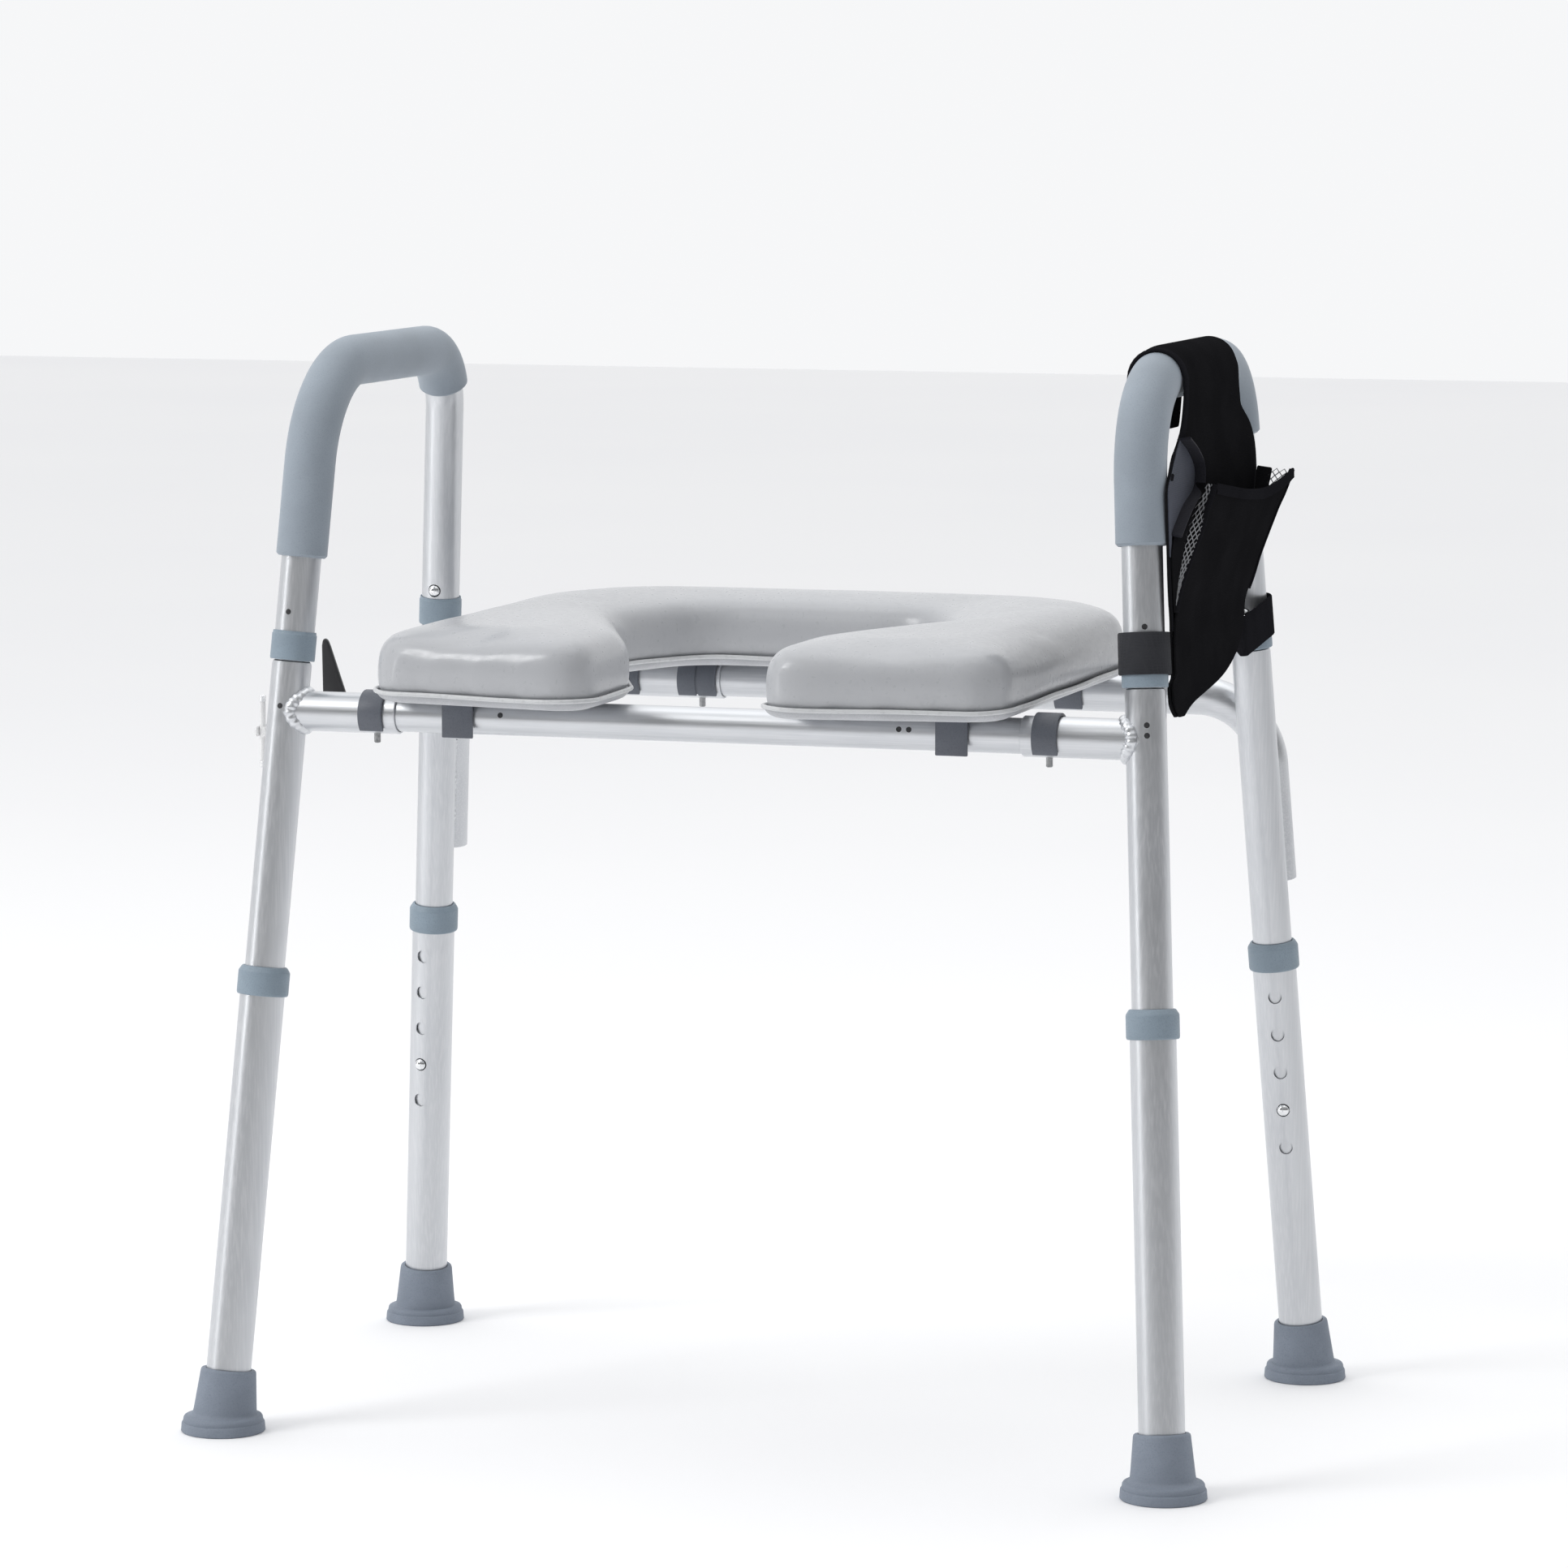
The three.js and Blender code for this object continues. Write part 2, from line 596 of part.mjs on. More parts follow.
// Seat clips: saddles that drop over the front bar, and C clips that turn on the rear bar.
const CLIP_TOP_Z = BASE_Z - 0.3;
for (const [sideName, side] of Object.entries(SIDES)) {
  const y = FRONT_BAR_Y;
  const top = CLIP_TOP_Z - FRONT_BAR_Z;
  const rIn = BAR_R + 0.45;
  const legs = 12.5;
  const saddle = [[-rIn - 2.3, -legs], [-rIn, -legs]];
  for (let i = 8; i >= 0; i -= 1) {
    const a = ((180 * i) / 8) * RAD;
    saddle.push([rIn * Math.cos(a), rIn * Math.sin(a)]);
  }
  saddle.push([rIn, -legs], [rIn + 2.3, -legs], [rIn + 2.3, top], [-rIn - 2.3, top]);
  const placed = saddle.map(([u, v]) => [y + u, FRONT_BAR_Z + v]);
  piece(`seat_clip_front_${sideName}`, solid(plateX(placed, side * FRONT_CLIP_X - 10.5, 21)), "clip");

  const band = bandOutline(LEG_R + 0.45, LEG_R + 2.9, -45, 225, 12);
  const ringPart = solid(
    plateX(band.map(([u, v]) => [REAR_BAR_Y + u, REAR_BAR_Z + v]), side * REAR_CLIP_X - 9.5, 19),
  );
  const head = solid(
    block(
      side * REAR_CLIP_X - 9.5,
      side * REAR_CLIP_X + 9.5,
      REAR_BAR_Y - 9,
      REAR_BAR_Y + 9,
      REAR_BAR_Z + LEG_R - 1,
      CLIP_TOP_Z,
    ),
  );
  const bore = aim(
    rod(LEG_R + 0.45, 30, 24),
    new V3(side * REAR_CLIP_X - 15, REAR_BAR_Y, REAR_BAR_Z),
    new V3(1, 0, 0),
  );
  piece(`seat_clip_rear_${sideName}`, cut(union(ringPart, head), solid(bore)), "clip");
}

// ---- Hanging bag on the right-hand handle ----
const CLOTH = 1.6;
const HANGER_END_Z = 648;
const HANGER_LAP_Z = [600, 642];
const HANGER_LAP_X = [0.2, 1.4];
const HANGER_ARC_STEPS = 8;
const PANEL_TOP_X = 287.9;
const HANG_X = legPoint(LEGS.front, 1, HANDLE_AXIS_Z).x + 0.4;
const HANG_R = GRIP_R + 0.8;
const PANEL_LEAN = 0.043;
const panelX = (z) => PANEL_TOP_X + (HANDLE_AXIS_Z - z) * PANEL_LEAN;
const BAG_FOLD_Z = 525;
const BAG_MOUTH_Z = 612;
const BAG_DEPTH = 22;
const GUSSET_Z = 540;
const GUSSET_CLOTH = 1.4;
const POCKET_FRONT = { fold: -88, gusset: -99, mouth: -78 };
const POCKET_REAR = { fold: 54, gusset: 63.3, mouth: 108 };
const HANGER_Y = [-56, 70];

// Leans a plate that was pushed out along +X, so that it follows the line x(z).
function leaned(geometry, x) {
  const p = geometry.getAttribute("position");
  for (let i = 0; i < p.count; i += 1) p.setX(i, p.getX(i) + x(p.getZ(i)));
  return geometry;
}

const loop = [[HANG_X - HANG_R, HANGER_END_Z], [HANG_X - HANG_R - CLOTH, HANGER_END_Z]];
for (let i = HANGER_ARC_STEPS; i >= 0; i -= 1) {
  const a = ((180 * i) / HANGER_ARC_STEPS) * RAD;
  loop.push([HANG_X + (HANG_R + CLOTH) * Math.cos(a), HANDLE_AXIS_Z + (HANG_R + CLOTH) * Math.sin(a)]);
}
const [lapLow, lapHigh] = HANGER_LAP_Z;
for (const [offset, z] of [[1, lapHigh], [1, lapLow], [0, lapLow], [0, lapHigh]]) {
  loop.push([panelX(z) + HANGER_LAP_X[offset], z]);
}
for (let i = 0; i <= HANGER_ARC_STEPS; i += 1) {
  const a = ((180 * i) / HANGER_ARC_STEPS) * RAD;
  loop.push([HANG_X + HANG_R * Math.cos(a), HANDLE_AXIS_Z + HANG_R * Math.sin(a)]);
}
const hanger = solid(plateY(loop, HANGER_Y[0], HANGER_Y[1] - HANGER_Y[0]));
const panelOutline = [
  [-104, 470],
  [-45, 478],
  [0, 485],
  [30, 491],
  [48, 502],
  [56, 514],
  [57, 530],
  [64, 548],
  [86, 578],
  [110, 600],
  [112, 622],
  [100, 640],
  [70, 645],
  [-56, 645],
  [-98, 640],
  [-122, 617],
  [-122, 560],
  [-97, 536],
  [-97, 486],
];
const panel = solid(leaned(plateX(panelOutline, 0, CLOTH), panelX));
piece("bag_back_panel", union(hanger, panel), "fabric");

// The pocket: flat against the back panel below the fold, leaning out from it up to the mouth. Its front
// and rear edges slant, so a gusset's y follows its height.
const OFF_PANEL = CLOTH + 0.5;
const bulge = (z) => ((z - BAG_FOLD_Z) / (BAG_MOUTH_Z - BAG_FOLD_Z)) * BAG_DEPTH;
const flatX = (z) => panelX(z) + OFF_PANEL;
const slantX = (z) => flatX(z) + bulge(z);
const flatPart = [
  [-84, 476],
  [-45, 482],
  [0, 489],
  [28, 495],
  [43, 505],
  [50, 518],
  [POCKET_REAR.fold, BAG_FOLD_Z],
  [POCKET_FRONT.fold, BAG_FOLD_Z],
];
const slantPart = [
  [POCKET_FRONT.fold, BAG_FOLD_Z - 0.02],
  [POCKET_REAR.fold, BAG_FOLD_Z - 0.02],
  [POCKET_REAR.mouth, BAG_MOUTH_Z],
  [POCKET_FRONT.mouth, BAG_MOUTH_Z],
  [POCKET_FRONT.gusset, GUSSET_Z],
];
const flatPocket = solid(leaned(plateX(flatPart, 0, CLOTH), flatX));
const slantPocket = solid(leaned(plateX(slantPart, 0, CLOTH), slantX));
piece("bag_pocket_panel", union(flatPocket, slantPocket), "fabric");

// gussets: mesh wedges that close the pocket's two sides
const wedge = [
  [flatX(GUSSET_Z) - 0.1, GUSSET_Z],
  [slantX(GUSSET_Z) - 0.4, GUSSET_Z],
  [slantX(BAG_MOUTH_Z) - 0.4, BAG_MOUTH_Z],
  [flatX(BAG_MOUTH_Z) - 0.1, BAG_MOUTH_Z],
];
for (const [name, edge, inward] of [["front", POCKET_FRONT, 1], ["rear", POCKET_REAR, -2.4]]) {
  const gusset = plateY(wedge, inward, GUSSET_CLOTH);
  const p = gusset.getAttribute("position");
  for (let i = 0; i < p.count; i += 1) {
    const share = (p.getZ(i) - GUSSET_Z) / (BAG_MOUTH_Z - GUSSET_Z);
    p.setY(i, p.getY(i) + edge.gusset + share * (edge.mouth - edge.gusset));
  }
  piece(`bag_gusset_${name}`, solid(gusset), "fabric");
}

// straps: loops round the front and rear uprights, slack on the side that faces the bag
function hull(points) {
  const sorted = [...points].sort((a, b) => a[0] - b[0] || a[1] - b[1]);
  const half = (list) => {
    const chain = [];
    for (const p of list) {
      while (chain.length > 1) {
        const [a, b] = chain.slice(-2);
        if ((b[0] - a[0]) * (p[1] - a[1]) - (b[1] - a[1]) * (p[0] - a[0]) > 0) break;
        chain.pop();
      }
      chain.push(p);
    }
    return chain.slice(0, -1);
  };
  return [...half(sorted), ...half(sorted.reverse())];
}

function circle([x, y], r, count = 14) {
  return Array.from({ length: count }, (_, i) => {
    const a = (2 * Math.PI * i) / count;
    return [x + r * Math.cos(a), y + r * Math.sin(a)];
  });
}

for (const leg of Object.values(LEGS)) {
  const anchor = leg.name === "front" ? [11.6, 21.5] : [14, -75];
  const outside = hull([...circle([0, 0], 16.1), ...circle(anchor, 3.6, 8)]);
  const inside = hull([...circle([0, 0], 14.9), ...circle(anchor, 2.4, 8)]);
  const loopOut = solid(onLeg(plate(outside, 28), leg, 1, 497));
  const loopIn = solid(onLeg(plate(inside, 40).translate(0, 0, -5), leg, 1, 497));
  piece(`bag_strap_${leg.name}`, cut(loopOut, loopIn), "fabric");
}

// ---- Paper roll holder on the left rear leg ----
const SPINDLE = { x: -336, z: 434, from: 83.7, to: -48, r: 4 };
const TOGGLE_Y = -43;
const clampZ = 425;
const clampBand = bandOutline(LEG_R + FIT, LEG_R + 3.2, 150, 390, 11);
const clamp = solid(onLeg(plate(clampBand, 18), LEGS.rear, -1, clampZ));
const clampAt = legPoint(LEGS.rear, -1, SPINDLE.z);
const plateAt = new V3(SPINDLE.x, 86, SPINDLE.z);
const reachOut = plateAt.clone().sub(clampAt).setZ(0);
const span = reachOut.length();
const arm = solid(
  block(LEG_R + 1.4, span, -3.5, 3.5, -7, 7)
    .rotateZ(Math.atan2(reachOut.y, reachOut.x))
    .translate(clampAt.x, clampAt.y, clampAt.z),
);
const plateOutline = [
  [-330, 420],
  [-327, 430],
  [-329, 446],
  [-340.5, 480],
  [-343.5, 483],
  [-345.5, 480],
  [-345, 446],
  [-345, 430],
  [-342, 420],
];
const backPlate = solid(plateY(plateOutline, 84, 4));
piece("holder_bracket", union(clamp, arm, backPlate), "black");

const spindleRod = aim(
  rod(SPINDLE.r, SPINDLE.from - SPINDLE.to, 12),
  new V3(SPINDLE.x, SPINDLE.from, SPINDLE.z),
  new V3(0, -1, 0),
);
const slot = block(
  SPINDLE.x - 2.2,
  SPINDLE.x + 2.2,
  SPINDLE.to - 5,
  TOGGLE_Y + 27,
  SPINDLE.z - 10,
  SPINDLE.z + 10,
);
const pivotHole = aim(rod(1.5, 20, 8), new V3(SPINDLE.x - 10, TOGGLE_Y, SPINDLE.z), new V3(1, 0, 0));
piece("holder_spindle", cut(solid(spindleRod), solid(slot), solid(pivotHole)), "white");
const toggleRod = turned([[0, -24], [1.2, -24], [1.8, -23], [1.8, 23], [1.2, 24], [0, 24]], 10);
const togglePin = aim(rod(1.05, 7.2, 8), new V3(SPINDLE.x - 3.6, TOGGLE_Y, SPINDLE.z), new V3(1, 0, 0));
piece(
  "holder_toggle",
  union(solid(toggleRod.translate(SPINDLE.x, TOGGLE_Y, SPINDLE.z)), solid(togglePin)),
  "white",
);

export default root;
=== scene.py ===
# Looks for the raised toilet seat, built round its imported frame.
# Metres, +Z up, the open front of the seat faces -Y, the hanging bag is on the +X side.
import json
import math

import bmesh
import bpy
import numpy as np
from mathutils import Matrix, Vector


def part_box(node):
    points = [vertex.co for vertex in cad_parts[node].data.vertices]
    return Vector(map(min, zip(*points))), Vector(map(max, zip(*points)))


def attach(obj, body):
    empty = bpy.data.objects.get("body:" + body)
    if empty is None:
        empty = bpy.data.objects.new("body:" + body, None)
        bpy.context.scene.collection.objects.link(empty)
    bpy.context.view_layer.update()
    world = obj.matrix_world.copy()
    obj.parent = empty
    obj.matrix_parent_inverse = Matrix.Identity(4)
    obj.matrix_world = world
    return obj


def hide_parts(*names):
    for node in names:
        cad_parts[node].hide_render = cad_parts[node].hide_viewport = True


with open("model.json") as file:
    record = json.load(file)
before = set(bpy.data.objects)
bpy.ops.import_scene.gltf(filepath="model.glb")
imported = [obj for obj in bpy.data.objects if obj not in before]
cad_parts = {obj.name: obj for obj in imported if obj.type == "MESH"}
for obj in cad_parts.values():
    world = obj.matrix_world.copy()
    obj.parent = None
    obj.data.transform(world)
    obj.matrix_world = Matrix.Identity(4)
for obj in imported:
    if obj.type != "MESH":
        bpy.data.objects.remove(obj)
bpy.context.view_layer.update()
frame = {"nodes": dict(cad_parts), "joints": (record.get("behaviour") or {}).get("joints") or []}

NODES = frame["nodes"]
JOINTS = {j["name"]: j for j in frame["joints"]}
SCENE = bpy.context.scene
MM = 0.001
X, Y, Z = Vector((1, 0, 0)), Vector((0, 1, 0)), Vector((0, 0, 1))
SIDES = {"left": -1, "right": 1}
TAGS = ("front_left", "front_right", "rear_left", "rear_right")

# Tubes, in metres.
LEG_R = 12.7 * MM
LOWER_R = 14.3 * MM
SPIGOT_R = 11.1 * MM
BAR_R = 11.1 * MM
GRIP_R = 16.3 * MM
WALL = 1.2 * MM
FIT = 0.45 * MM
HOLE_R = 4.4 * MM
HOLE_PITCH = 25.4 * MM
SHOULDER_ABOVE_COLLAR = 8.36 * MM
FRONT_BEND = 70 * MM
REAR_BEND = 45 * MM
REAR_TUBE_BACK = 25.7 * MM
REAR_TUBE_BEND = 47 * MM
REAR_TUBE_END_Z = 334 * MM
REAR_WELD_Z = 350 * MM
REAR_WELD_LENGTH = 58 * MM
FRONT_STUB_END = 205 * MM
REAR_STUB_END = 88 * MM
PIN_R = 2.1 * MM
LIP = 0.4 * MM
TUBE_FACETS = 48


# ---- Objects, meshes and their points ----
def in_scene(name, data):
    obj = bpy.data.objects.new(name, data)
    SCENE.collection.objects.link(obj)
    return obj


def mesh_of(name, bm):
    mesh = bpy.data.meshes.new(name)
    bm.to_mesh(mesh)
    bm.free()
    return mesh


def coordinates(mesh):
    points = np.zeros(len(mesh.vertices) * 3)
    mesh.vertices.foreach_get("co", points)
    return points.reshape(-1, 3)


def in_metres(pairs):
    return [(a * MM, b * MM) for a, b in pairs]


# ---- Camera, light and floor ----
CAMERA_AT = (1.2395, -3.844, 0.8896)
CAMERA_AIM = (-0.0002, 0.0255, 0.4035)
CAMERA_LENS_MM = 144.9
LIGHTS_AIM = (0, 0, 0.4)
FLOOR_SIZE = 24


def add_camera():
    data = bpy.data.cameras.new("camera")
    data.sensor_width = 36
    data.lens = CAMERA_LENS_MM
    data.clip_end = 100
    camera = in_scene("camera", data)
    aim(camera, CAMERA_AT, CAMERA_AIM)
    SCENE.camera = camera


def aim(obj, location, target):
    obj.location = location
    sight = Vector(target) - Vector(location)
    obj.rotation_euler = sight.to_track_quat("-Z", "Y").to_euler()


def add_area(name, location, size, power):
    data = bpy.data.lights.new(name, "AREA")
    data.shape = "RECTANGLE"
    data.size, data.size_y = size
    data.energy = power
    aim(in_scene(name, data), location, LIGHTS_AIM)


def map_range(tree, bounds, results):
    """A node that turns one span of values, (low, high), into another."""
    made = tree.nodes.new("ShaderNodeMapRange")
    for key, value in zip(("From Min", "From Max", "To Min", "To Max"), (*bounds, *results)):
        made.inputs[key].default_value = value
    return made


def studio_sky():
    """White beyond the object and overhead, grey behind the camera and on the right, so tubes look round."""
    world = bpy.data.worlds.new("studio")
    world.use_nodes = True
    tree = world.node_tree
    where = tree.nodes.new("ShaderNodeTexCoord")
    strength = []
    beyond = ((-0.5, 1, 0), (-0.55, 0.8), (0.2, 0.94))
    overhead = (Z, (0.25, 0.95), (0.0, 0.58))
    for direction, bounds, strengths in (beyond, overhead):
        along = tree.nodes.new("ShaderNodeVectorMath")
        along.operation = "DOT_PRODUCT"
        along.inputs[1].default_value = direction
        ramp = map_range(tree, bounds, strengths)
        ramp.interpolation_type = "SMOOTHSTEP"
        tree.links.new(where.outputs["Generated"], along.inputs[0])
        tree.links.new(along.outputs["Value"], ramp.inputs["Value"])
        strength.append(ramp.outputs["Result"])
    total = tree.nodes.new("ShaderNodeMath")
    for source, target in zip(strength, total.inputs):
        tree.links.new(source, target)
    tree.links.new(total.outputs["Value"], tree.nodes["Background"].inputs["Strength"])
    tree.nodes["Background"].inputs["Color"].default_value = (0.985, 0.99, 1.0, 1)
    SCENE.world = world


def add_studio():
    studio_sky()
    SCENE.view_settings.view_transform = "Standard"
    add_area("key", (-2.4, -2.2, 2.9), (1.4, 1.4), 50)
    add_area("strip", (-3.2, -1.8, 0.7), (0.4, 2.4), 12)
    add_area("top", (0.2, 0.2, 3.2), (2.4, 2.4), 14)

    def corner(u, v):
        return (u - 0.5) * FLOOR_SIZE, (v - 0.5) * FLOOR_SIZE, 0

    floor = in_scene("floor", grid_mesh("floor", 2, 2, corner))
    floor.data.materials.append(plain_floor())


# ---- Materials ----
class Paint:
    """A Principled material and the procedural nodes that drive it, in the row frame's own coordinates."""

    def __init__(self, name, color, roughness, metallic=0.0, **sockets):
        self.material = bpy.data.materials.new(name)
        self.material.use_nodes = True
        self.tree = self.material.node_tree
        self.shader = self.tree.nodes["Principled BSDF"]
        self.color = color
        self.set("Base Color", (*color, 1))
        self.set("Roughness", roughness)
        self.set("Metallic", metallic)
        for socket, value in sockets.items():
            self.set(socket.replace("_", " ").title().replace("Ior", "IOR"), value)
        self.height = None

    def set(self, socket, value):
        self.shader.inputs[socket].default_value = value

    def node(self, kind, **settings):
        made = self.tree.nodes.new(kind)
        for key, value in settings.items():
            if hasattr(made, key):
                setattr(made, key, value)
            else:
                made.inputs[key.replace("_", " ").title()].default_value = value
        return made

    def link(self, source, target):
        self.tree.links.new(source, target)

    def place(self, stretch=(1, 1, 1)):
        where = self.node("ShaderNodeTexCoord")
        mapping = self.node("ShaderNodeMapping")
        mapping.inputs["Scale"].default_value = stretch
        self.link(where.outputs["Object"], mapping.inputs["Vector"])
        return mapping.outputs["Vector"]

    def noise(self, scale, detail=3.0, stretch=(1, 1, 1)):
        made = self.node("ShaderNodeTexNoise", scale=scale, detail=detail)
        self.link(self.place(stretch), made.inputs["Vector"])
        return made.outputs["Fac"]

    def cells(self, scale):
        made = self.node("ShaderNodeTexVoronoi", scale=scale)
        self.link(self.place(), made.inputs["Vector"])
        return made.outputs["Distance"]

    def waves(self, scale, axis, distortion=0.0):
        made = self.node("ShaderNodeTexWave", wave_type="BANDS", bands_direction=axis)
        made.inputs["Scale"].default_value = scale
        made.inputs["Distortion"].default_value = distortion
        self.link(self.place(), made.inputs["Vector"])
        return made.outputs["Fac"]

    def math(self, operation, a, b):
        made = self.node("ShaderNodeMath", operation=operation)
        for socket, value in zip(made.inputs, (a, b)):
            if isinstance(value, (int, float)):
                socket.default_value = value
            else:
                self.link(value, socket)
        return made.outputs["Value"]

    def span(self, factor, low, high, from_low=0.3, from_high=0.7):
        made = map_range(self.tree, (from_low, from_high), (low, high))
        self.link(factor, made.inputs["Value"])
        return made.outputs["Result"]

    def tint(self, factor, other, low=0.3, high=0.7):
        """Mixes the base colour towards another one where the factor is high."""
        mix = self.node("ShaderNodeMix", data_type="RGBA")
        colors = [s for s in mix.inputs if s.type == "RGBA"]
        source = self.shader.inputs["Base Color"]
        if source.is_linked:
            self.link(source.links[0].from_socket, colors[0])
        else:
            colors[0].default_value = (*self.color, 1)
        colors[1].default_value = (*other, 1)
        self.link(self.span(factor, 0, 1, low, high), mix.inputs["Factor"])
        self.link(next(s for s in mix.outputs if s.type == "RGBA"), source)
        return self

    def rough(self, factor, low, high):
        self.link(self.span(factor, low, high), self.shader.inputs["Roughness"])
        return self

    def bump(self, factor, depth, strength=1.0):
        """Adds a height, whose full swing is depth metres."""
        made = self.node("ShaderNodeBump")
        made.inputs["Strength"].default_value = strength
        made.inputs["Distance"].default_value = depth
        self.link(factor, made.inputs["Height"])
        if self.height is not None:
            self.link(self.height, made.inputs["Normal"])
        self.height = made.outputs["Normal"]
        target = self.shader.inputs["Normal"]
        for old in list(target.links):
            self.tree.links.remove(old)
        self.link(self.height, target)
        return self


def shade(color, factor):
    return tuple(c * factor for c in color)


def anodised(name, grain):
    """Satin anodised tube: faint drawing lines along its length, fine frosted grain, soft stains."""
    paint = Paint(name, (0.61, 0.625, 0.645), 0.33, 0.94)
    lines = paint.noise(900, 2, grain)
    stains = paint.noise(14, 4)
    paint.tint(stains, (0.565, 0.58, 0.605), 0.42, 0.75)
    paint.tint(lines, (0.66, 0.67, 0.69), 0.45, 0.7)
    halves = [paint.math("MULTIPLY", part, 0.5) for part in (lines, stains)]
    paint.rough(paint.math("ADD", *halves), 0.3, 0.44)
    paint.bump(lines, 0.00002, 0.5)
    paint.bump(paint.noise(3200, 2), 0.00001, 0.5)
    return paint.material


def weld_metal():
    paint = Paint("weld_metal", (0.66, 0.675, 0.695), 0.3, 0.92)
    pits = paint.noise(420, 4)
    paint.tint(pits, (0.5, 0.51, 0.54), 0.55, 0.75)
    paint.rough(pits, 0.28, 0.46)
    paint.bump(pits, 0.0003, 0.4)
    return paint.material


def foam():
    color = (0.285, 0.328, 0.375)
    paint = Paint("grip_foam", color, 0.62, 0.0, specular_ior_level=0.38, sheen_weight=0.12)
    fine = paint.noise(1500, 3)
    cloud = paint.noise(22, 4)
    paint.tint(cloud, shade(color, 1.13), 0.4, 0.72)
    paint.tint(fine, shade(color, 0.9), 0.52, 0.8)
    paint.rough(fine, 0.56, 0.72)
    paint.bump(fine, 0.00006, 0.5)
    paint.bump(paint.cells(900), 0.00005, 0.35)
    return paint.material


def moulded(name, color, roughness, grain=0.00004):
    """Moulded plastic or rubber: slight cloud in the colour, a spark-eroded grain, dust in the low spots."""
    paint = Paint(name, color, roughness, 0.0, specular_ior_level=0.42)
    cloud = paint.noise(45, 4)
    fine = paint.noise(1100, 3)
    paint.tint(cloud, shade(color, 1.16), 0.42, 0.75)
    paint.tint(fine, shade(color, 0.88), 0.5, 0.8)
    paint.rough(fine, roughness - 0.07, roughness + 0.09)
    paint.bump(fine, grain, 0.6)
    return paint.material


def chrome():
    paint = Paint("button_chrome", (0.82, 0.83, 0.84), 0.12, 1.0)
    scuffs = paint.noise(260, 4, (1, 1, 3))
    paint.rough(scuffs, 0.08, 0.24)
    paint.tint(scuffs, (0.66, 0.67, 0.69), 0.55, 0.8)
    return paint.material


def zinc():
    paint = Paint("pin_zinc", (0.36, 0.365, 0.37), 0.32, 0.9)
    dull = paint.noise(380, 4)
    paint.tint(dull, (0.22, 0.225, 0.23), 0.45, 0.75)
    paint.rough(dull, 0.25, 0.5)
    return paint.material


def vinyl():
    """Light grey vinyl: fine leather grain, soft mottling, slightly glossier where the grain is flat."""
    color = (0.43, 0.44, 0.46)
    gloss = {"specular_ior_level": 0.5, "coat_weight": 0.22, "coat_roughness": 0.14}
    paint = Paint("seat_vinyl", color, 0.33, 0.0, **gloss)
    grain = paint.cells(620)
    mottle = paint.noise(9, 5)
    creases = paint.noise(240, 5)
    paint.tint(mottle, (0.46, 0.47, 0.488), 0.38, 0.72)
    paint.tint(creases, shade(color, 0.96), 0.55, 0.8)
    paint.rough(creases, 0.26, 0.4)
    paint.bump(grain, 0.00007, 0.3)
    paint.bump(creases, 0.00005, 0.26)
    return paint.material


def welt_vinyl():
    paint = Paint("welt_vinyl", (0.60, 0.61, 0.62), 0.38, 0.0, specular_ior_level=0.5)
    creases = paint.noise(300, 4)
    paint.tint(creases, (0.5, 0.51, 0.52), 0.5, 0.8)
    paint.rough(creases, 0.32, 0.48)
    paint.bump(creases, 0.00008, 0.5)
    return paint.material


def woven(name, color, pitch, sheen, gloss=0.05):
    """Plain-woven polyester: two sets of threads that cross, a nap, and uneven dye."""
    paint = Paint(name, color, 0.88, 0.0, specular_ior_level=gloss, sheen_weight=sheen, sheen_roughness=0.4)
    turns = 1 / (pitch * 6.2832)
    warp = paint.waves(turns, "Y", 0.4)
    weft = paint.waves(turns, "Z", 0.4)
    weave = paint.math("MAXIMUM", warp, weft)
    cloud = paint.noise(30, 4)
    paint.tint(cloud, shade(color, 1.7), 0.4, 0.75)
    paint.tint(weave, shade(color, 1.25), 0.5, 1.0)
    paint.rough(cloud, 0.7, 0.86)
    paint.bump(weave, pitch * 0.22, 0.6)
    paint.bump(paint.noise(2400, 2), 0.00004, 0.5)
    return paint.material


def ink():
    paint = Paint("mark_ink", (0.02, 0.02, 0.022), 0.5)
    worn = paint.noise(900, 3)
    paint.tint(worn, (0.06, 0.06, 0.065), 0.5, 0.8)
    paint.rough(worn, 0.4, 0.6)
    return paint.material


def plain_floor():
    paint = Paint("floor", (0.965, 0.965, 0.97), 0.8, 0.0, specular_ior_level=0.1)
    cloud = paint.noise(0.7, 3)
    paint.tint(cloud, (0.95, 0.95, 0.96), 0.4, 0.7)
    return paint.material


# ---- Mesh building ----
def make_mesh(name, points, faces, sharp=38):
    mesh = bpy.data.meshes.new(name)
    mesh.from_pydata([tuple(p) for p in points], [], faces)
    bm = bmesh.new()
    bm.from_mesh(mesh)
    bmesh.ops.remove_doubles(bm, verts=bm.verts, dist=1e-6)
    bmesh.ops.recalc_face_normals(bm, faces=bm.faces)
    bm.to_mesh(mesh)
    bm.free()
    return smooth(mesh, sharp)


def smooth(mesh, sharp=38):
    mesh.shade_smooth()
    mesh.set_sharp_from_angle(angle=math.radians(sharp))
    return mesh


def row_faces(rows, columns, close_rows=False, close_columns=False):
    faces = []
    for i in range(rows if close_rows else rows - 1):
        for k in range(columns if close_columns else columns - 1):
            a, b = i * columns + k, i * columns + (k + 1) % columns
            c, d = ((i + 1) % rows) * columns + (k + 1) % columns, ((i + 1) % rows) * columns + k
            faces.append((a, b, c, d))
    return faces


def grid_mesh(name, rows, columns, point):
    points = [point(i / (rows - 1), k / (columns - 1)) for i in range(rows) for k in range(columns)]
    return make_mesh(name, points, row_faces(rows, columns), 60)


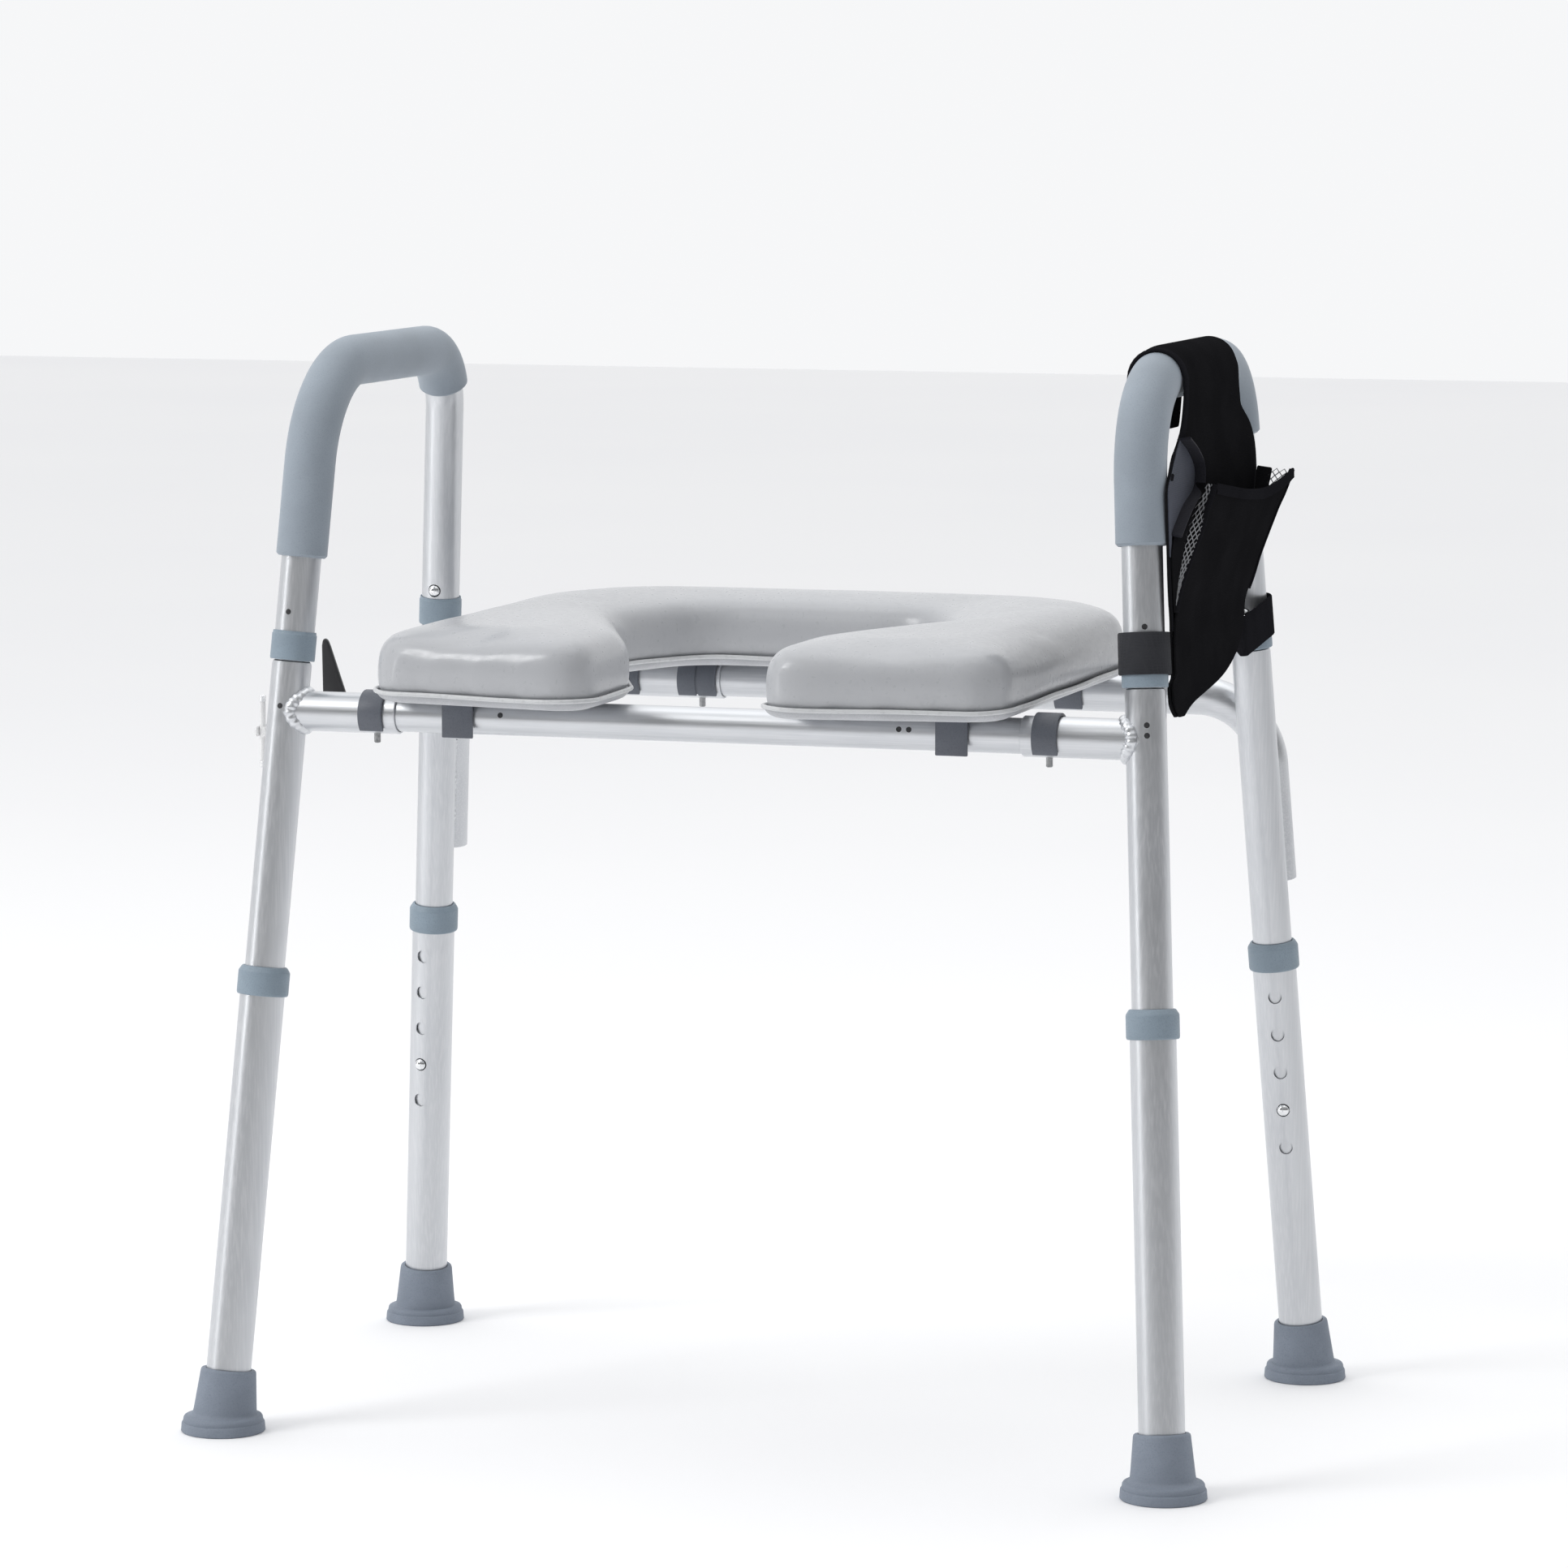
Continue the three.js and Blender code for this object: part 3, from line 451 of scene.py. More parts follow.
def side_of(direction):
    """A direction across the given one, the same for directions that are nearly the same."""
    other = Y if abs(direction.y) < 0.9 else X
    return other.cross(direction).normalized()


def ring_points(centre, normal, radius, facets, across=None):
    u = across or side_of(normal)
    v = normal.cross(u)
    turns = [2 * math.pi * k / facets for k in range(facets)]
    return [centre + u * (radius * math.cos(a)) + v * (radius * math.sin(a)) for a in turns]


def loft(name, rings, facets=TUBE_FACETS, closed=False):
    """A skin through rings, each (centre, normal, radius); closed joins the last ring to the first."""
    points = [p for centre, normal, radius in rings for p in ring_points(centre, normal, radius, facets)]
    return make_mesh(name, points, row_faces(len(rings), facets, closed, True))


def lathe(name, profile, base, up, facets=TUBE_FACETS, closed=True):
    """A profile of (radius, distance along up) turned about the axis through base."""
    return loft(name, [(base + up * t, up, max(r, 0)) for r, t in profile], facets, closed)


def rounded(profile, radius):
    """A closed profile with its corners rounded."""
    steps, out = 3, []
    count = len(profile)
    for i, corner in enumerate(profile):
        here = Vector(corner)
        before = Vector(profile[i - 1]) - here
        after = Vector(profile[(i + 1) % count]) - here
        reach = [min(radius, d.length * 0.45) for d in (before, after)]
        start = here + before.normalized() * reach[0]
        end = here + after.normalized() * reach[1]
        for k in range(steps + 1):
            t = k / steps
            out.append(tuple(start * (1 - t) ** 2 + here * (2 * t * (1 - t)) + end * t**2))
    return out


def path_frames(path):
    """(point, tangent, across) along a path, with no twist."""
    count = len(path)
    tangents = [(path[min(i + 1, count - 1)] - path[max(i - 1, 0)]).normalized() for i in range(count)]
    across = side_of(tangents[0])
    frames = []
    for point, tangent in zip(path, tangents):
        across = (across - tangent * across.dot(tangent)).normalized()
        frames.append((point, tangent, across.copy()))
    return frames


def with_lips(path, lip):
    """The path with a point close to each end, where a tube's edge starts to round."""
    first, last = (path[1] - path[0]).normalized(), (path[-2] - path[-1]).normalized()
    return [path[0], path[0] + first * lip, *path[1:-1], path[-1] + last * lip, path[-1]]


def tube(name, path, outer, inner, lip=LIP, facets=TUBE_FACETS):
    """A round tube along a path, its edges rounded by lip. inner of 0 makes a rod."""
    frames = path_frames(with_lips(path, lip))
    last = len(frames) - 1
    rows = [(f, outer - (lip if i in (0, last) else 0)) for i, f in enumerate(frames)]
    if inner:
        rows += [(f, inner) for f in reversed(frames)]
    else:
        rows = [(frames[0], 0), *rows, (frames[last], 0)]
    points = [p for (c, t, u), r in rows for p in ring_points(c, t, r, facets, u)]
    return make_mesh(name, points, row_faces(len(rows), facets, bool(inner), True))


def slab(name, outline, place, depth, bevel, sharp=32, segments=2):
    """A flat outline of (u, v) pushed out to a depth along w and bevelled, then placed by a matrix."""
    bm = bmesh.new()
    face = bm.faces.new([bm.verts.new((u, v, 0)) for u, v in outline])
    pushed = bmesh.ops.extrude_face_region(bm, geom=[face])["geom"]
    moved = [g for g in pushed if isinstance(g, bmesh.types.BMVert)]
    bmesh.ops.translate(bm, vec=(0, 0, depth), verts=moved)
    bmesh.ops.recalc_face_normals(bm, faces=bm.faces)
    turn = math.radians(sharp)
    edges = [e for e in bm.edges if len(e.link_faces) == 2 and e.calc_face_angle(0) > turn]
    kind = {"segments": segments, "profile": 0.5, "affect": "EDGES", "clamp_overlap": True}
    bmesh.ops.bevel(bm, geom=edges, offset=bevel, **kind)
    bmesh.ops.transform(bm, matrix=place, verts=bm.verts)
    if place.determinant() < 0:
        bmesh.ops.reverse_faces(bm, faces=bm.faces)
    return smooth(mesh_of(name, bm), 30)


def placed(origin, u, v, w):
    """The matrix that turns (u, v, w) into the row frame, from an origin."""
    return Matrix([[u[i], v[i], w[i], origin[i]] for i in range(3)] + [[0, 0, 0, 1]])


def joined(name, *meshes):
    bm = bmesh.new()
    for mesh in meshes:
        bm.from_mesh(mesh)
    return smooth(mesh_of(name, bm))


def applied(obj):
    """Replaces an object's mesh by what its modifiers make of it."""
    bpy.context.view_layer.update()
    evaluated = obj.evaluated_get(bpy.context.evaluated_depsgraph_get())
    mesh = bpy.data.meshes.new_from_object(evaluated)
    obj.modifiers.clear()
    obj.data = mesh
    return mesh


def punched(mesh, holes, path):
    """A tube's mesh with round holes, each (point, direction, radius, length), its round shading kept."""
    bm = bmesh.new()
    for point, direction, radius, length in holes:
        turn = direction.to_track_quat("Z", "Y").to_matrix().to_4x4()
        place = Matrix.Translation(point + direction * (length / 2)) @ turn
        size = {"radius1": radius, "radius2": radius, "depth": length}
        bmesh.ops.create_cone(bm, cap_ends=True, segments=32, matrix=place, **size)
    tool, work = in_scene("tools", mesh_of("tools", bm)), in_scene("work", mesh)
    cut = work.modifiers.new("holes", "BOOLEAN")
    cut.operation = "DIFFERENCE"
    cut.solver = "EXACT"
    cut.object = tool
    out = applied(work)
    for obj in (tool, work):
        bpy.data.objects.remove(obj)
    smooth(out)
    return round_shading(out, path)


def round_shading(mesh, path):
    """Gives the wall of a tube that was cut the normals of a true round tube about its path."""
    line = np.array([tuple(p) for p in path], float)
    a, d = line[:-1], line[1:] - line[:-1]
    points = coordinates(mesh)
    away = points[:, None, :] - a[None]
    t = np.clip((away * d).sum(2) / (d * d).sum(1), 0, 1)
    radial = away - t[:, :, None] * d
    nearest = np.linalg.norm(radial, axis=2).argmin(1)
    radial = radial[np.arange(len(points)), nearest]
    radial /= np.maximum(np.linalg.norm(radial, axis=1), 1e-9)[:, None]
    corner_vertex = np.zeros(len(mesh.loops), np.int32)
    mesh.loops.foreach_get("vertex_index", corner_vertex)
    normals = np.array([tuple(c.vector) for c in mesh.corner_normals], float)
    for face in mesh.polygons:
        corners = range(face.loop_start, face.loop_start + face.loop_total)
        flat = np.array(face.normal)
        for i in corners:
            lean = flat @ radial[corner_vertex[i]]
            if abs(lean) > 0.9:
                normals[i] = radial[corner_vertex[i]] * math.copysign(1, lean)
    mesh.normals_split_custom_set(normals.tolist())
    return mesh


def show(mesh, material, body="frame", replaced=(), name=None):
    """Puts a mesh in the scene as a piece that rides on a body and stands for CAD nodes."""
    obj = in_scene(name or mesh.name, mesh)
    mesh.materials.clear()
    mesh.materials.append(material)
    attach(obj, body)
    if replaced:
        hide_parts(*replaced)
    return obj


# ---- What the frame says ----
def middle_of(node):
    """The mean of a node's vertices, which lies on the axis of a turned node."""
    points = [v.co for v in NODES[node].data.vertices]
    return sum(points, Vector()) / len(points)


def measured(node, base, up):
    """How far along an axis a node starts and ends, and its least and greatest distance from it."""
    along, radii = [], []
    for vertex in NODES[node].data.vertices:
        offset = vertex.co - base
        along.append(offset.dot(up))
        radii.append((offset - up * along[-1]).length)
    return min(along), max(along), min(radii), max(radii)


class Leg:
    """A leg's axis: where it meets the floor, and its direction."""

    def __init__(self, tag):
        low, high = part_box(f"foot_{tag}")
        self.tag = tag
        self.side = SIDES[tag.split("_")[1]]
        self.base = Vector(((low.x + high.x) / 2, (low.y + high.y) / 2, 0))
        self.up = -Vector(JOINTS[f"leg_height_{tag}"]["axis"]).normalized()
        self.back = (Y - self.up * self.up.y).normalized()
        self.across = self.back.cross(self.up)
        self.line = [self.at(0), self.at(0.6)]

    def at(self, z):
        return self.base + self.up * (z / self.up.z)

    def span(self, node):
        return measured(f"{node}_{self.tag}", self.base, self.up)


LEGS = {tag: Leg(tag) for tag in TAGS}


def bend(corner, towards, away, radius, steps):
    """Points of the arc that rounds a corner between two directions that leave it."""
    half = math.acos(max(-1, min(1, towards.dot(away)))) / 2
    start = corner + towards * (radius / math.tan(half))
    end = corner + away * (radius / math.tan(half))
    centre = corner + (towards + away).normalized() * (radius / math.sin(half))
    a, b, sweep = start - centre, end - centre, math.pi - 2 * half
    weights = [(math.sin((1 - i / steps) * sweep), math.sin(i / steps * sweep)) for i in range(steps + 1)]
    return [centre + (a * wa + b * wb) / math.sin(sweep) for wa, wb in weights]


def straight(start, end, steps=2):
    return [start.lerp(end, i / steps) for i in range(steps + 1)]


HANDLE_AXIS_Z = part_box("handle_grip_left")[1].z - GRIP_R


def handle_path(side_name, from_z, to_z, rear_share=1.0):
    """The line of an arm handle, from a height on the front leg over to a height on the rear leg."""
    front, rear = LEGS[f"front_{side_name}"], LEGS[f"rear_{side_name}"]
    a, b = front.at(HANDLE_AXIS_Z), rear.at(HANDLE_AXIS_Z)
    top = (b - a).normalized()
    path = [front.at(from_z), *bend(a, -front.up, top, FRONT_BEND, 20)]
    rear_arc = bend(b, -top, -rear.up, REAR_BEND, 16)
    path += rear_arc[: round(16 * rear_share) + 1]
    if rear_share == 1:
        path.append(rear.at(to_z))
    return path


# ---- Legs ----
def leg_tube(leg, metal):
    """The inner tube: plain, then a rounded shoulder just under the collar, then the spigot."""
    start, top, _, _ = leg.span("leg_tube")
    collar = leg.span("upper_collar")[0]
    shoulder = collar + SHOULDER_ABOVE_COLLAR
    profile = [
        (LEG_R - WALL, start),
        (LEG_R - 0.3 * MM, start),
        (LEG_R, start + LIP),
        (LEG_R, collar - 3.2 * MM),
        (LEG_R - 0.15 * MM, collar - 2.2 * MM),
        (LEG_R - 0.6 * MM, collar - 1.1 * MM),
        (LEG_R - 1.4 * MM, collar - 0.5 * MM),
        (SPIGOT_R, collar - 0.3 * MM),
        (SPIGOT_R, top - 1 * MM),
        (SPIGOT_R - 0.5 * MM, top),
        (SPIGOT_R - WALL, top),
        (SPIGOT_R - WALL, shoulder - 3 * MM),
        (LEG_R - WALL, shoulder - 12 * MM),
    ]
    mesh = lathe(f"upright_{leg.tag}", profile, leg.base, leg.up)
    holes = [button_hole(leg, "leg_button"), button_hole(leg, "handle_button")]
    body = punched(mesh, holes, leg.line)
    show(body, metal, "frame", [f"leg_tube_{leg.tag}"], f"upright_{leg.tag}")


def button_axis(leg, kind):
    direction = -Vector(JOINTS[f"{kind}_press_{leg.tag}"]["axis"]).normalized()
    centre = middle_of(f"{kind}_{leg.tag}")
    return centre, direction


def button_hole(leg, kind, shift=0.0):
    centre, direction = button_axis(leg, kind)
    along = (centre - leg.base).dot(leg.up) + shift
    return leg.base + leg.up * along, direction, HOLE_R, 24 * MM


def leg_extension(leg, metal):
    start, end, _, _ = leg.span("leg_extension")
    ring = [(LOWER_R - WALL, start), (LOWER_R, start), (LOWER_R, end), (LOWER_R - WALL, end)]
    mesh = lathe(f"lower_tube_{leg.tag}", rounded(ring, 0.35 * MM), leg.base, leg.up)
    holes = [button_hole(leg, "leg_button", k * HOLE_PITCH) for k in range(-1, 4)]
    cut = punched(mesh, holes, leg.line)
    show(cut, metal, f"leg_{leg.tag}", [f"leg_extension_{leg.tag}"], f"lower_tube_{leg.tag}")


def button(leg, kind, material):
    centre, direction = button_axis(leg, kind)
    start, end, _, _ = measured(f"{kind}_{leg.tag}", centre, direction)
    flange, flange_r, head_r, dome = start + 1.8 * MM, 4.9 * MM, 3.9 * MM, 2.9 * MM
    profile = [(0, start), (flange_r, start), (flange_r, flange), (head_r, flange)]
    for i in range(9):
        a = math.pi / 2 * i / 8
        profile.append((head_r * math.cos(a), end - dome + dome * math.sin(a)))
    mesh = lathe(f"{kind}_head_{leg.tag}", profile, centre, direction, 32, False)
    show(mesh, material, f"{kind}_{leg.tag}", [f"{kind}_{leg.tag}"])


def lower_collar(leg, material):
    start, end, _, outer = leg.span("lower_collar")
    step = leg.span("leg_extension")[1] + 0.35 * MM
    profile = [
        (LOWER_R + FIT, start),
        (outer - 0.5 * MM, start),
        (outer, start + 1.2 * MM),
        (outer, end - 3.4 * MM),
        (outer - 0.9 * MM, end - 2.0 * MM),
        (LEG_R + 1.6 * MM, end),
        (LEG_R + 0.3 * MM, end),
        (LEG_R + 0.3 * MM, step),
        (LOWER_R + FIT, step),
    ]
    mesh = lathe(f"sleeve_{leg.tag}", rounded(profile, 0.6 * MM), leg.base, leg.up)
    show(mesh, material, f"leg_{leg.tag}", [f"lower_collar_{leg.tag}"])


def upper_collar(leg, material):
    start, end, _, outer = leg.span("upper_collar")
    profile = [
        (LEG_R + 0.3 * MM, start),
        (outer - 0.2 * MM, start),
        (outer, start + 1 * MM),
        (outer, end - 2.2 * MM),
        (outer - 0.5 * MM, end - 1.4 * MM),
        (outer - 0.5 * MM, end),
        (LEG_R + 0.3 * MM, end),
    ]
    mesh = lathe(f"cuff_{leg.tag}", rounded(profile, 0.35 * MM), leg.base, leg.up)
    show(mesh, material, "frame", [f"upper_collar_{leg.tag}"])


# The foot's profile as (radius, height) in millimetres: the flange, then the cone above it.
FOOT_FLANGE = (
    (0, 0.6), (25.2, 0.6), (25.8, 0), (26.4, 0.1), (26.9, 0.7), (26.5, 5.6), (26.1, 6.2), (25.5, 6.5),
    (25.4, 7.0), (25.5, 7.5), (25.3, 9.0), (24.7, 9.9), (23.6, 10.3), (22.0, 10.5),
)
FOOT_CONE = (
    (20.9, 10.9), (20.4, 11.8), (20.1, 13.5), (19.6, 18.0), (18.8, 26.0), (18.1, 33.0), (17.8, 36.2),
    (17.45, 37.5), (16.7, 38.1),
)


def foot(leg, material):
    """The flared rubber tip: an upright two-step flange and a leaning cone with a fillet between them."""
    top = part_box(f"foot_{leg.tag}")[1].z - 1.6 * MM
    rings = [(leg.base + Z * (z * MM), Z, r * MM) for r, z in FOOT_FLANGE]
    cone_low, cone_high = FOOT_CONE[0][1], FOOT_CONE[-1][1]
    for r, z in FOOT_CONE:
        tilt = Z.lerp(leg.up, min(1, 0.35 + (z - cone_low) / (cone_high - cone_low))).normalized()
        rings.append((leg.at(z * top / cone_high), tilt, r * MM))
    bore, bore_end = LOWER_R + LIP, leg.at(9.8 * MM)
    rings += [(leg.at(top), leg.up, bore), (bore_end, leg.up, bore), (bore_end, leg.up, 0)]
    mesh = loft(f"tip_{leg.tag}", rings, 64)
    show(mesh, material, f"leg_{leg.tag}", [f"foot_{leg.tag}"])


# ---- Welds ----
WELD_RIPPLE = 3.4 * MM
WELD_SWELL = 0.055


def weld_bead(name, path, radius, material):
    """A laid bead: it swells and dips gently once for each ripple, and wanders a little."""
    fine = []
    for a, b in zip(path, path[1:]):
        steps = max(1, round((b - a).length / (0.5 * MM)))
        fine += [a.lerp(b, i / steps) for i in range(steps)]
    fine.append(path[-1])
    travelled, rows = 0.0, []
    for i, (point, tangent, across) in enumerate(path_frames(fine)):
        if i:
            travelled += (fine[i] - fine[i - 1]).length
        wave = math.sin(2 * math.pi * travelled / WELD_RIPPLE) + 0.8 * math.sin(travelled * 430 + 1)
        wander = 0.3 * MM * math.sin(travelled * 260)
        rows.append((point + across * wander, tangent, across, radius * (1 + WELD_SWELL * wave)))
    rows = [(*rows[0][:3], 0), *rows, (*rows[-1][:3], 0)]
    points = [p for c, t, u, r in rows for p in ring_points(c, t, r, 16, u)]
    mesh = make_mesh(name, points, row_faces(len(rows), 16, False, True), 70)
    show(mesh, material)


def meets_leg(leg, bar, angle, radius):
    """Where a line along X on a bar's wall meets the leg's wall, on the side of the middle."""
    start = Vector((0, bar.y + radius * math.cos(angle), bar.z + radius * math.sin(angle)))
    across = X - leg.up * leg.up.x
    offset = start - leg.base
    offset -= leg.up * offset.dot(leg.up)
    a, b, c = across.dot(across), 2 * offset.dot(across), offset.dot(offset) - LEG_R**2
    root = math.sqrt(max(0, b * b - 4 * a * c))
    start.x = (-b - leg.side * root) / (2 * a)
    return start


def front_stub(leg, bar, metal, bead):
    """The welded cross tube of a front leg: its end follows the leg's wall, with a bead over the seam."""
    turns = [2 * math.pi * k / TUBE_FACETS for k in range(TUBE_FACETS)]
    seam = [meets_leg(leg, bar, a, LEG_R) for a in turns]
    mouth_x = leg.side * FRONT_STUB_END

    def ring(x, radius):
        return [Vector((x, bar.y + radius * math.cos(a), bar.z + radius * math.sin(a))) for a in turns]

    deep = [meets_leg(leg, bar, a, LEG_R - WALL) for a in turns]
    mouth = [ring(mouth_x, LEG_R - LIP), ring(mouth_x, LEG_R - WALL)]
    points = [p for row in (seam, ring(mouth_x + leg.side * LIP, LEG_R), *mouth, deep) for p in row]
    mesh = make_mesh(f"stub_{leg.tag}", points, row_faces(5, TUBE_FACETS, False, True))
    show(mesh, metal)
    laid = [meets_leg(leg, bar, a, LEG_R - 1.6 * MM) for a in turns]
    weld_bead(f"weld_{leg.tag}", [*laid, laid[0], laid[1]], 4.2 * MM, bead)


def rear_corner(leg, bar):
    z = bar.z - leg.back.z * REAR_TUBE_BACK
    return leg.at(z) + leg.back * REAR_TUBE_BACK


def rear_side_tube(leg, bar, metal, bead):
    """The bent tube behind a rear leg: it takes the rear bar, turns down and is welded along the leg."""
    corner = rear_corner(leg, bar)
    down = -leg.up
    end = corner + down * ((bar.z - REAR_TUBE_END_Z) / leg.up.z)
    mouth = Vector((leg.side * REAR_STUB_END, corner.y, corner.z))
    path = [mouth, *bend(corner, X * -leg.side, down, REAR_TUBE_BEND, 22), end]
    show(tube(f"side_tube_{leg.tag}", path, LEG_R, LEG_R - WALL), metal)
    for s, name in ((-1, "a"), (1, "b")):
        beside = leg.across * (5.6 * MM * s) + leg.back * (REAR_TUBE_BACK / 2)
        low = leg.at(REAR_WELD_Z) + beside
        weld_bead(f"weld_{name}_{leg.tag}", [low, low + leg.up * REAR_WELD_LENGTH], 3.6 * MM, bead)


# ---- Bars and clips ----
def c_outline(inner, outer, start, end):
    """An open ring between two radii, from one angle in degrees to another."""
    turns = [math.radians(start + (end - start) * i / 40) for i in range(41)]
    outside = [(outer * math.cos(a), outer * math.sin(a)) for a in turns]
    return outside + [(inner * math.cos(a), inner * math.sin(a)) for a in reversed(turns)]


def cross_bar(node, lock_nodes, metal):
    low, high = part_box(node)
    y, z = (low.y + high.y) / 2, (low.z + high.z) / 2
    path = straight(Vector((low.x, y, z)), Vector((high.x, y, z)), 4)
    mesh = tube(f"tube_{node}", path, BAR_R, BAR_R - WALL)
    pins = [(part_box(n)[0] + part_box(n)[1]) / 2 for n in lock_nodes]
    holes = [(Vector((p.x, y, z - 20 * MM)), Z, PIN_R + 0.5 * MM, 40 * MM) for p in pins]
    show(punched(mesh, holes, path), metal, "frame", [node], f"tube_{node}")
    return Vector((0, y, z))


def on_bar(x, bar):
    """Places an outline of (y, z) about a bar's axis, pushed out along the bar from x."""
    return placed((x, bar.y, bar.z), Y, Z, X)


def lock_clip(node, bar, material, steel, double):
    """A C band snapped over the tube, or two joined ones, with a pin down through both tubes."""
    low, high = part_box(node)
    x0, width = low.x, high.x - low.x
    middle = (low.x + high.x) / 2
    bands = [(x0, width)]
    if double:
        gap = 1.2 * MM
        bands = [(x0, (width - gap) / 2), (x0 + (width + gap) / 2, (width - gap) / 2)]
    outline = c_outline(LEG_R + 0.35 * MM, LEG_R + 2.3 * MM, -45, 225)
    parts = [slab(node, outline, on_bar(start, bar), span, 0.5 * MM) for start, span in bands]
    if double:
        inner = c_outline(LEG_R + 0.35 * MM, LEG_R + 1.7 * MM, -40, 220)
        parts.append(slab(node, inner, on_bar(x0 + 2 * MM, bar), width - 4 * MM, 0.3 * MM))
    body = joined(f"band_{node}", *parts)
    show(body, material, "frame", [node], f"band_{node}")
    top = bar.z + LEG_R + 2.2 * MM
    pin = [Vector((middle, bar.y, low.z)), Vector((middle, bar.y, top))]
    show(tube(f"pin_{node}", pin, PIN_R, 0, 0.5 * MM, 24), steel)


def saddle_clip(node, bar, base_z, material):
    """The front seat clip: a block hollowed to drop over the bar, its sides waisted, open below."""
    low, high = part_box(node)
    top = base_z - bar.z
    inner, outer, legs = BAR_R + 0.45 * MM, BAR_R + 2.75 * MM, 12.5 * MM
    outline = [(-outer, -legs), (-inner, -legs)]
    for i in range(24, -1, -1):
        a = math.pi * i / 24
        outline.append((inner * math.cos(a), inner * math.sin(a)))
    outline += [(inner, -legs), (outer, -legs), (outer, top), (-outer, top)]
    mesh = slab(f"saddle_{node}", outline, on_bar(low.x, bar), high.x - low.x, 0.8 * MM)
    middle = (low.x + high.x) / 2
    for vertex in mesh.vertices:
        height = (vertex.co.z - (bar.z - legs)) / (base_z - bar.z + legs)
        waist = 1 - 0.13 * math.sin(math.pi * min(1, max(0, height)))
        vertex.co.x = middle + (vertex.co.x - middle) * waist
    show(mesh, material, "seat", [node], f"saddle_{node}")


def hinge_clip(node, bar, base_z, material):
    """The rear seat clip: a C that turns on the rear tube, with a neck up to the seat board."""
    low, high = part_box(node)
    width = high.x - low.x
    outline = c_outline(LEG_R + 0.45 * MM, LEG_R + 2.9 * MM, -45, 225)
    band = slab(node, outline, on_bar(low.x, bar), width, 0.6 * MM)
    root, root_half, top, top_half = LEG_R - 0.3 * MM, 9.5 * MM, base_z - bar.z, 9 * MM
    sides = [(-root_half, root), (root_half, root), (top_half, top), (-top_half, top)]
    neck = slab(node, sides, on_bar(low.x + 1 * MM, bar), width - 2 * MM, 0.7 * MM)
    show(joined(f"hook_{node}", band, neck), material, "seat", [node], f"hook_{node}")


# ---- Seat ----
SEAT_LOW, SEAT_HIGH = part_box("seat_pad")
BOARD_LOW, BOARD_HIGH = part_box("seat_base")
MOUTH_HALF = 54 * MM
OUTLINE_STEP = 5 * MM
PAD_TURN = 18 * MM
WELT_R = 1.4 * MM


def seat_corners():
    """The seat's corners from above, anticlockwise, each with its rounding radius."""
    half, front, rear = SEAT_HIGH.x, SEAT_LOW.y - 2.2 * MM, SEAT_HIGH.y
    outer = [(MOUTH_HALF, front, 24 * MM), (half, front + 22.5 * MM, 30 * MM), (half, rear, 100 * MM)]
    hole = [(82 * MM, 94 * MM, 34 * MM), (112 * MM, 20 * MM, 50 * MM), (MOUTH_HALF, -118 * MM, 60 * MM)]

    def flipped(corners):
        return [(-x, y, r) for x, y, r in reversed(corners)]

    return outer + flipped(outer) + flipped(hole) + hole


def seat_outline():
    """The rounded outline as (point, outward direction), evenly spaced."""
    corners = seat_corners()
    count = len(corners)
    points = []
    for i, (x, y, r) in enumerate(corners):
        here = Vector((x, y))
        into = (here - Vector(corners[i - 1][:2])).normalized()
        out = (Vector(corners[(i + 1) % count][:2]) - here).normalized()
        turn = math.atan2(into.x * out.y - into.y * out.x, into.dot(out))
        start = here - into * (r * math.tan(abs(turn) / 2))
        left = Vector((-into.y, into.x))
        sign = math.copysign(1, turn)
        centre = start + left * (r * sign)
        steps = max(4, round(abs(turn) * r / OUTLINE_STEP * 1.6))
        for k in range(steps + 1):
            angle = turn * k / steps
            spoke = Matrix.Rotation(angle, 2) @ (start - centre)
            points.append((centre + spoke, spoke.normalized() * sign))
    filled = []
    for (p, n), (q, m) in zip(points, points[1:] + points[:1]):
        steps = max(1, round((q - p).length / OUTLINE_STEP))
        for k in range(steps):
            t = k / steps
            filled.append((p.lerp(q, t), n.lerp(m, t).normalized()))
    return filled


OUTLINE = seat_outline()


def outline_ring(inset, z):
    return [Vector((p.x - n.x * inset, p.y - n.y * inset, z)) for p, n in OUTLINE]


def stacked(name, levels):
    """A solid of stacked outlines, each level an (inset, height)."""
    bm = bmesh.new()
    rows = [[bm.verts.new(p) for p in outline_ring(inset, z)] for inset, z in levels]
    count = len(OUTLINE)
    for low, high in zip(rows, rows[1:]):
        for k in range(count):
            n = (k + 1) % count
            bm.faces.new((low[k], low[n], high[n], high[k]))
    bm.faces.new(list(reversed(rows[0])))
    bm.faces.new(rows[-1])
    bmesh.ops.recalc_face_normals(bm, faces=bm.faces)
    return smooth(mesh_of(name, bm), 40)


def pad_profile(height):
    """(inset, rise) of the pad's side: out a little to its widest, then a long soft turn onto the top."""
    side = [(0.9 * MM, 0), (0.3 * MM, 0.1 * height), (0.2 * MM, 0.3 * height), (0.4 * MM, 0.5 * height)]
    for i in range(1, 9):
        a = math.pi / 2 * i / 8
        side.append((0.6 * MM + PAD_TURN * (1 - math.cos(a)), height * (0.54 + 0.46 * math.sin(a))))
    return side


PAD_VOXEL = 4.5 * MM
INFLATE_FRAMES = 20


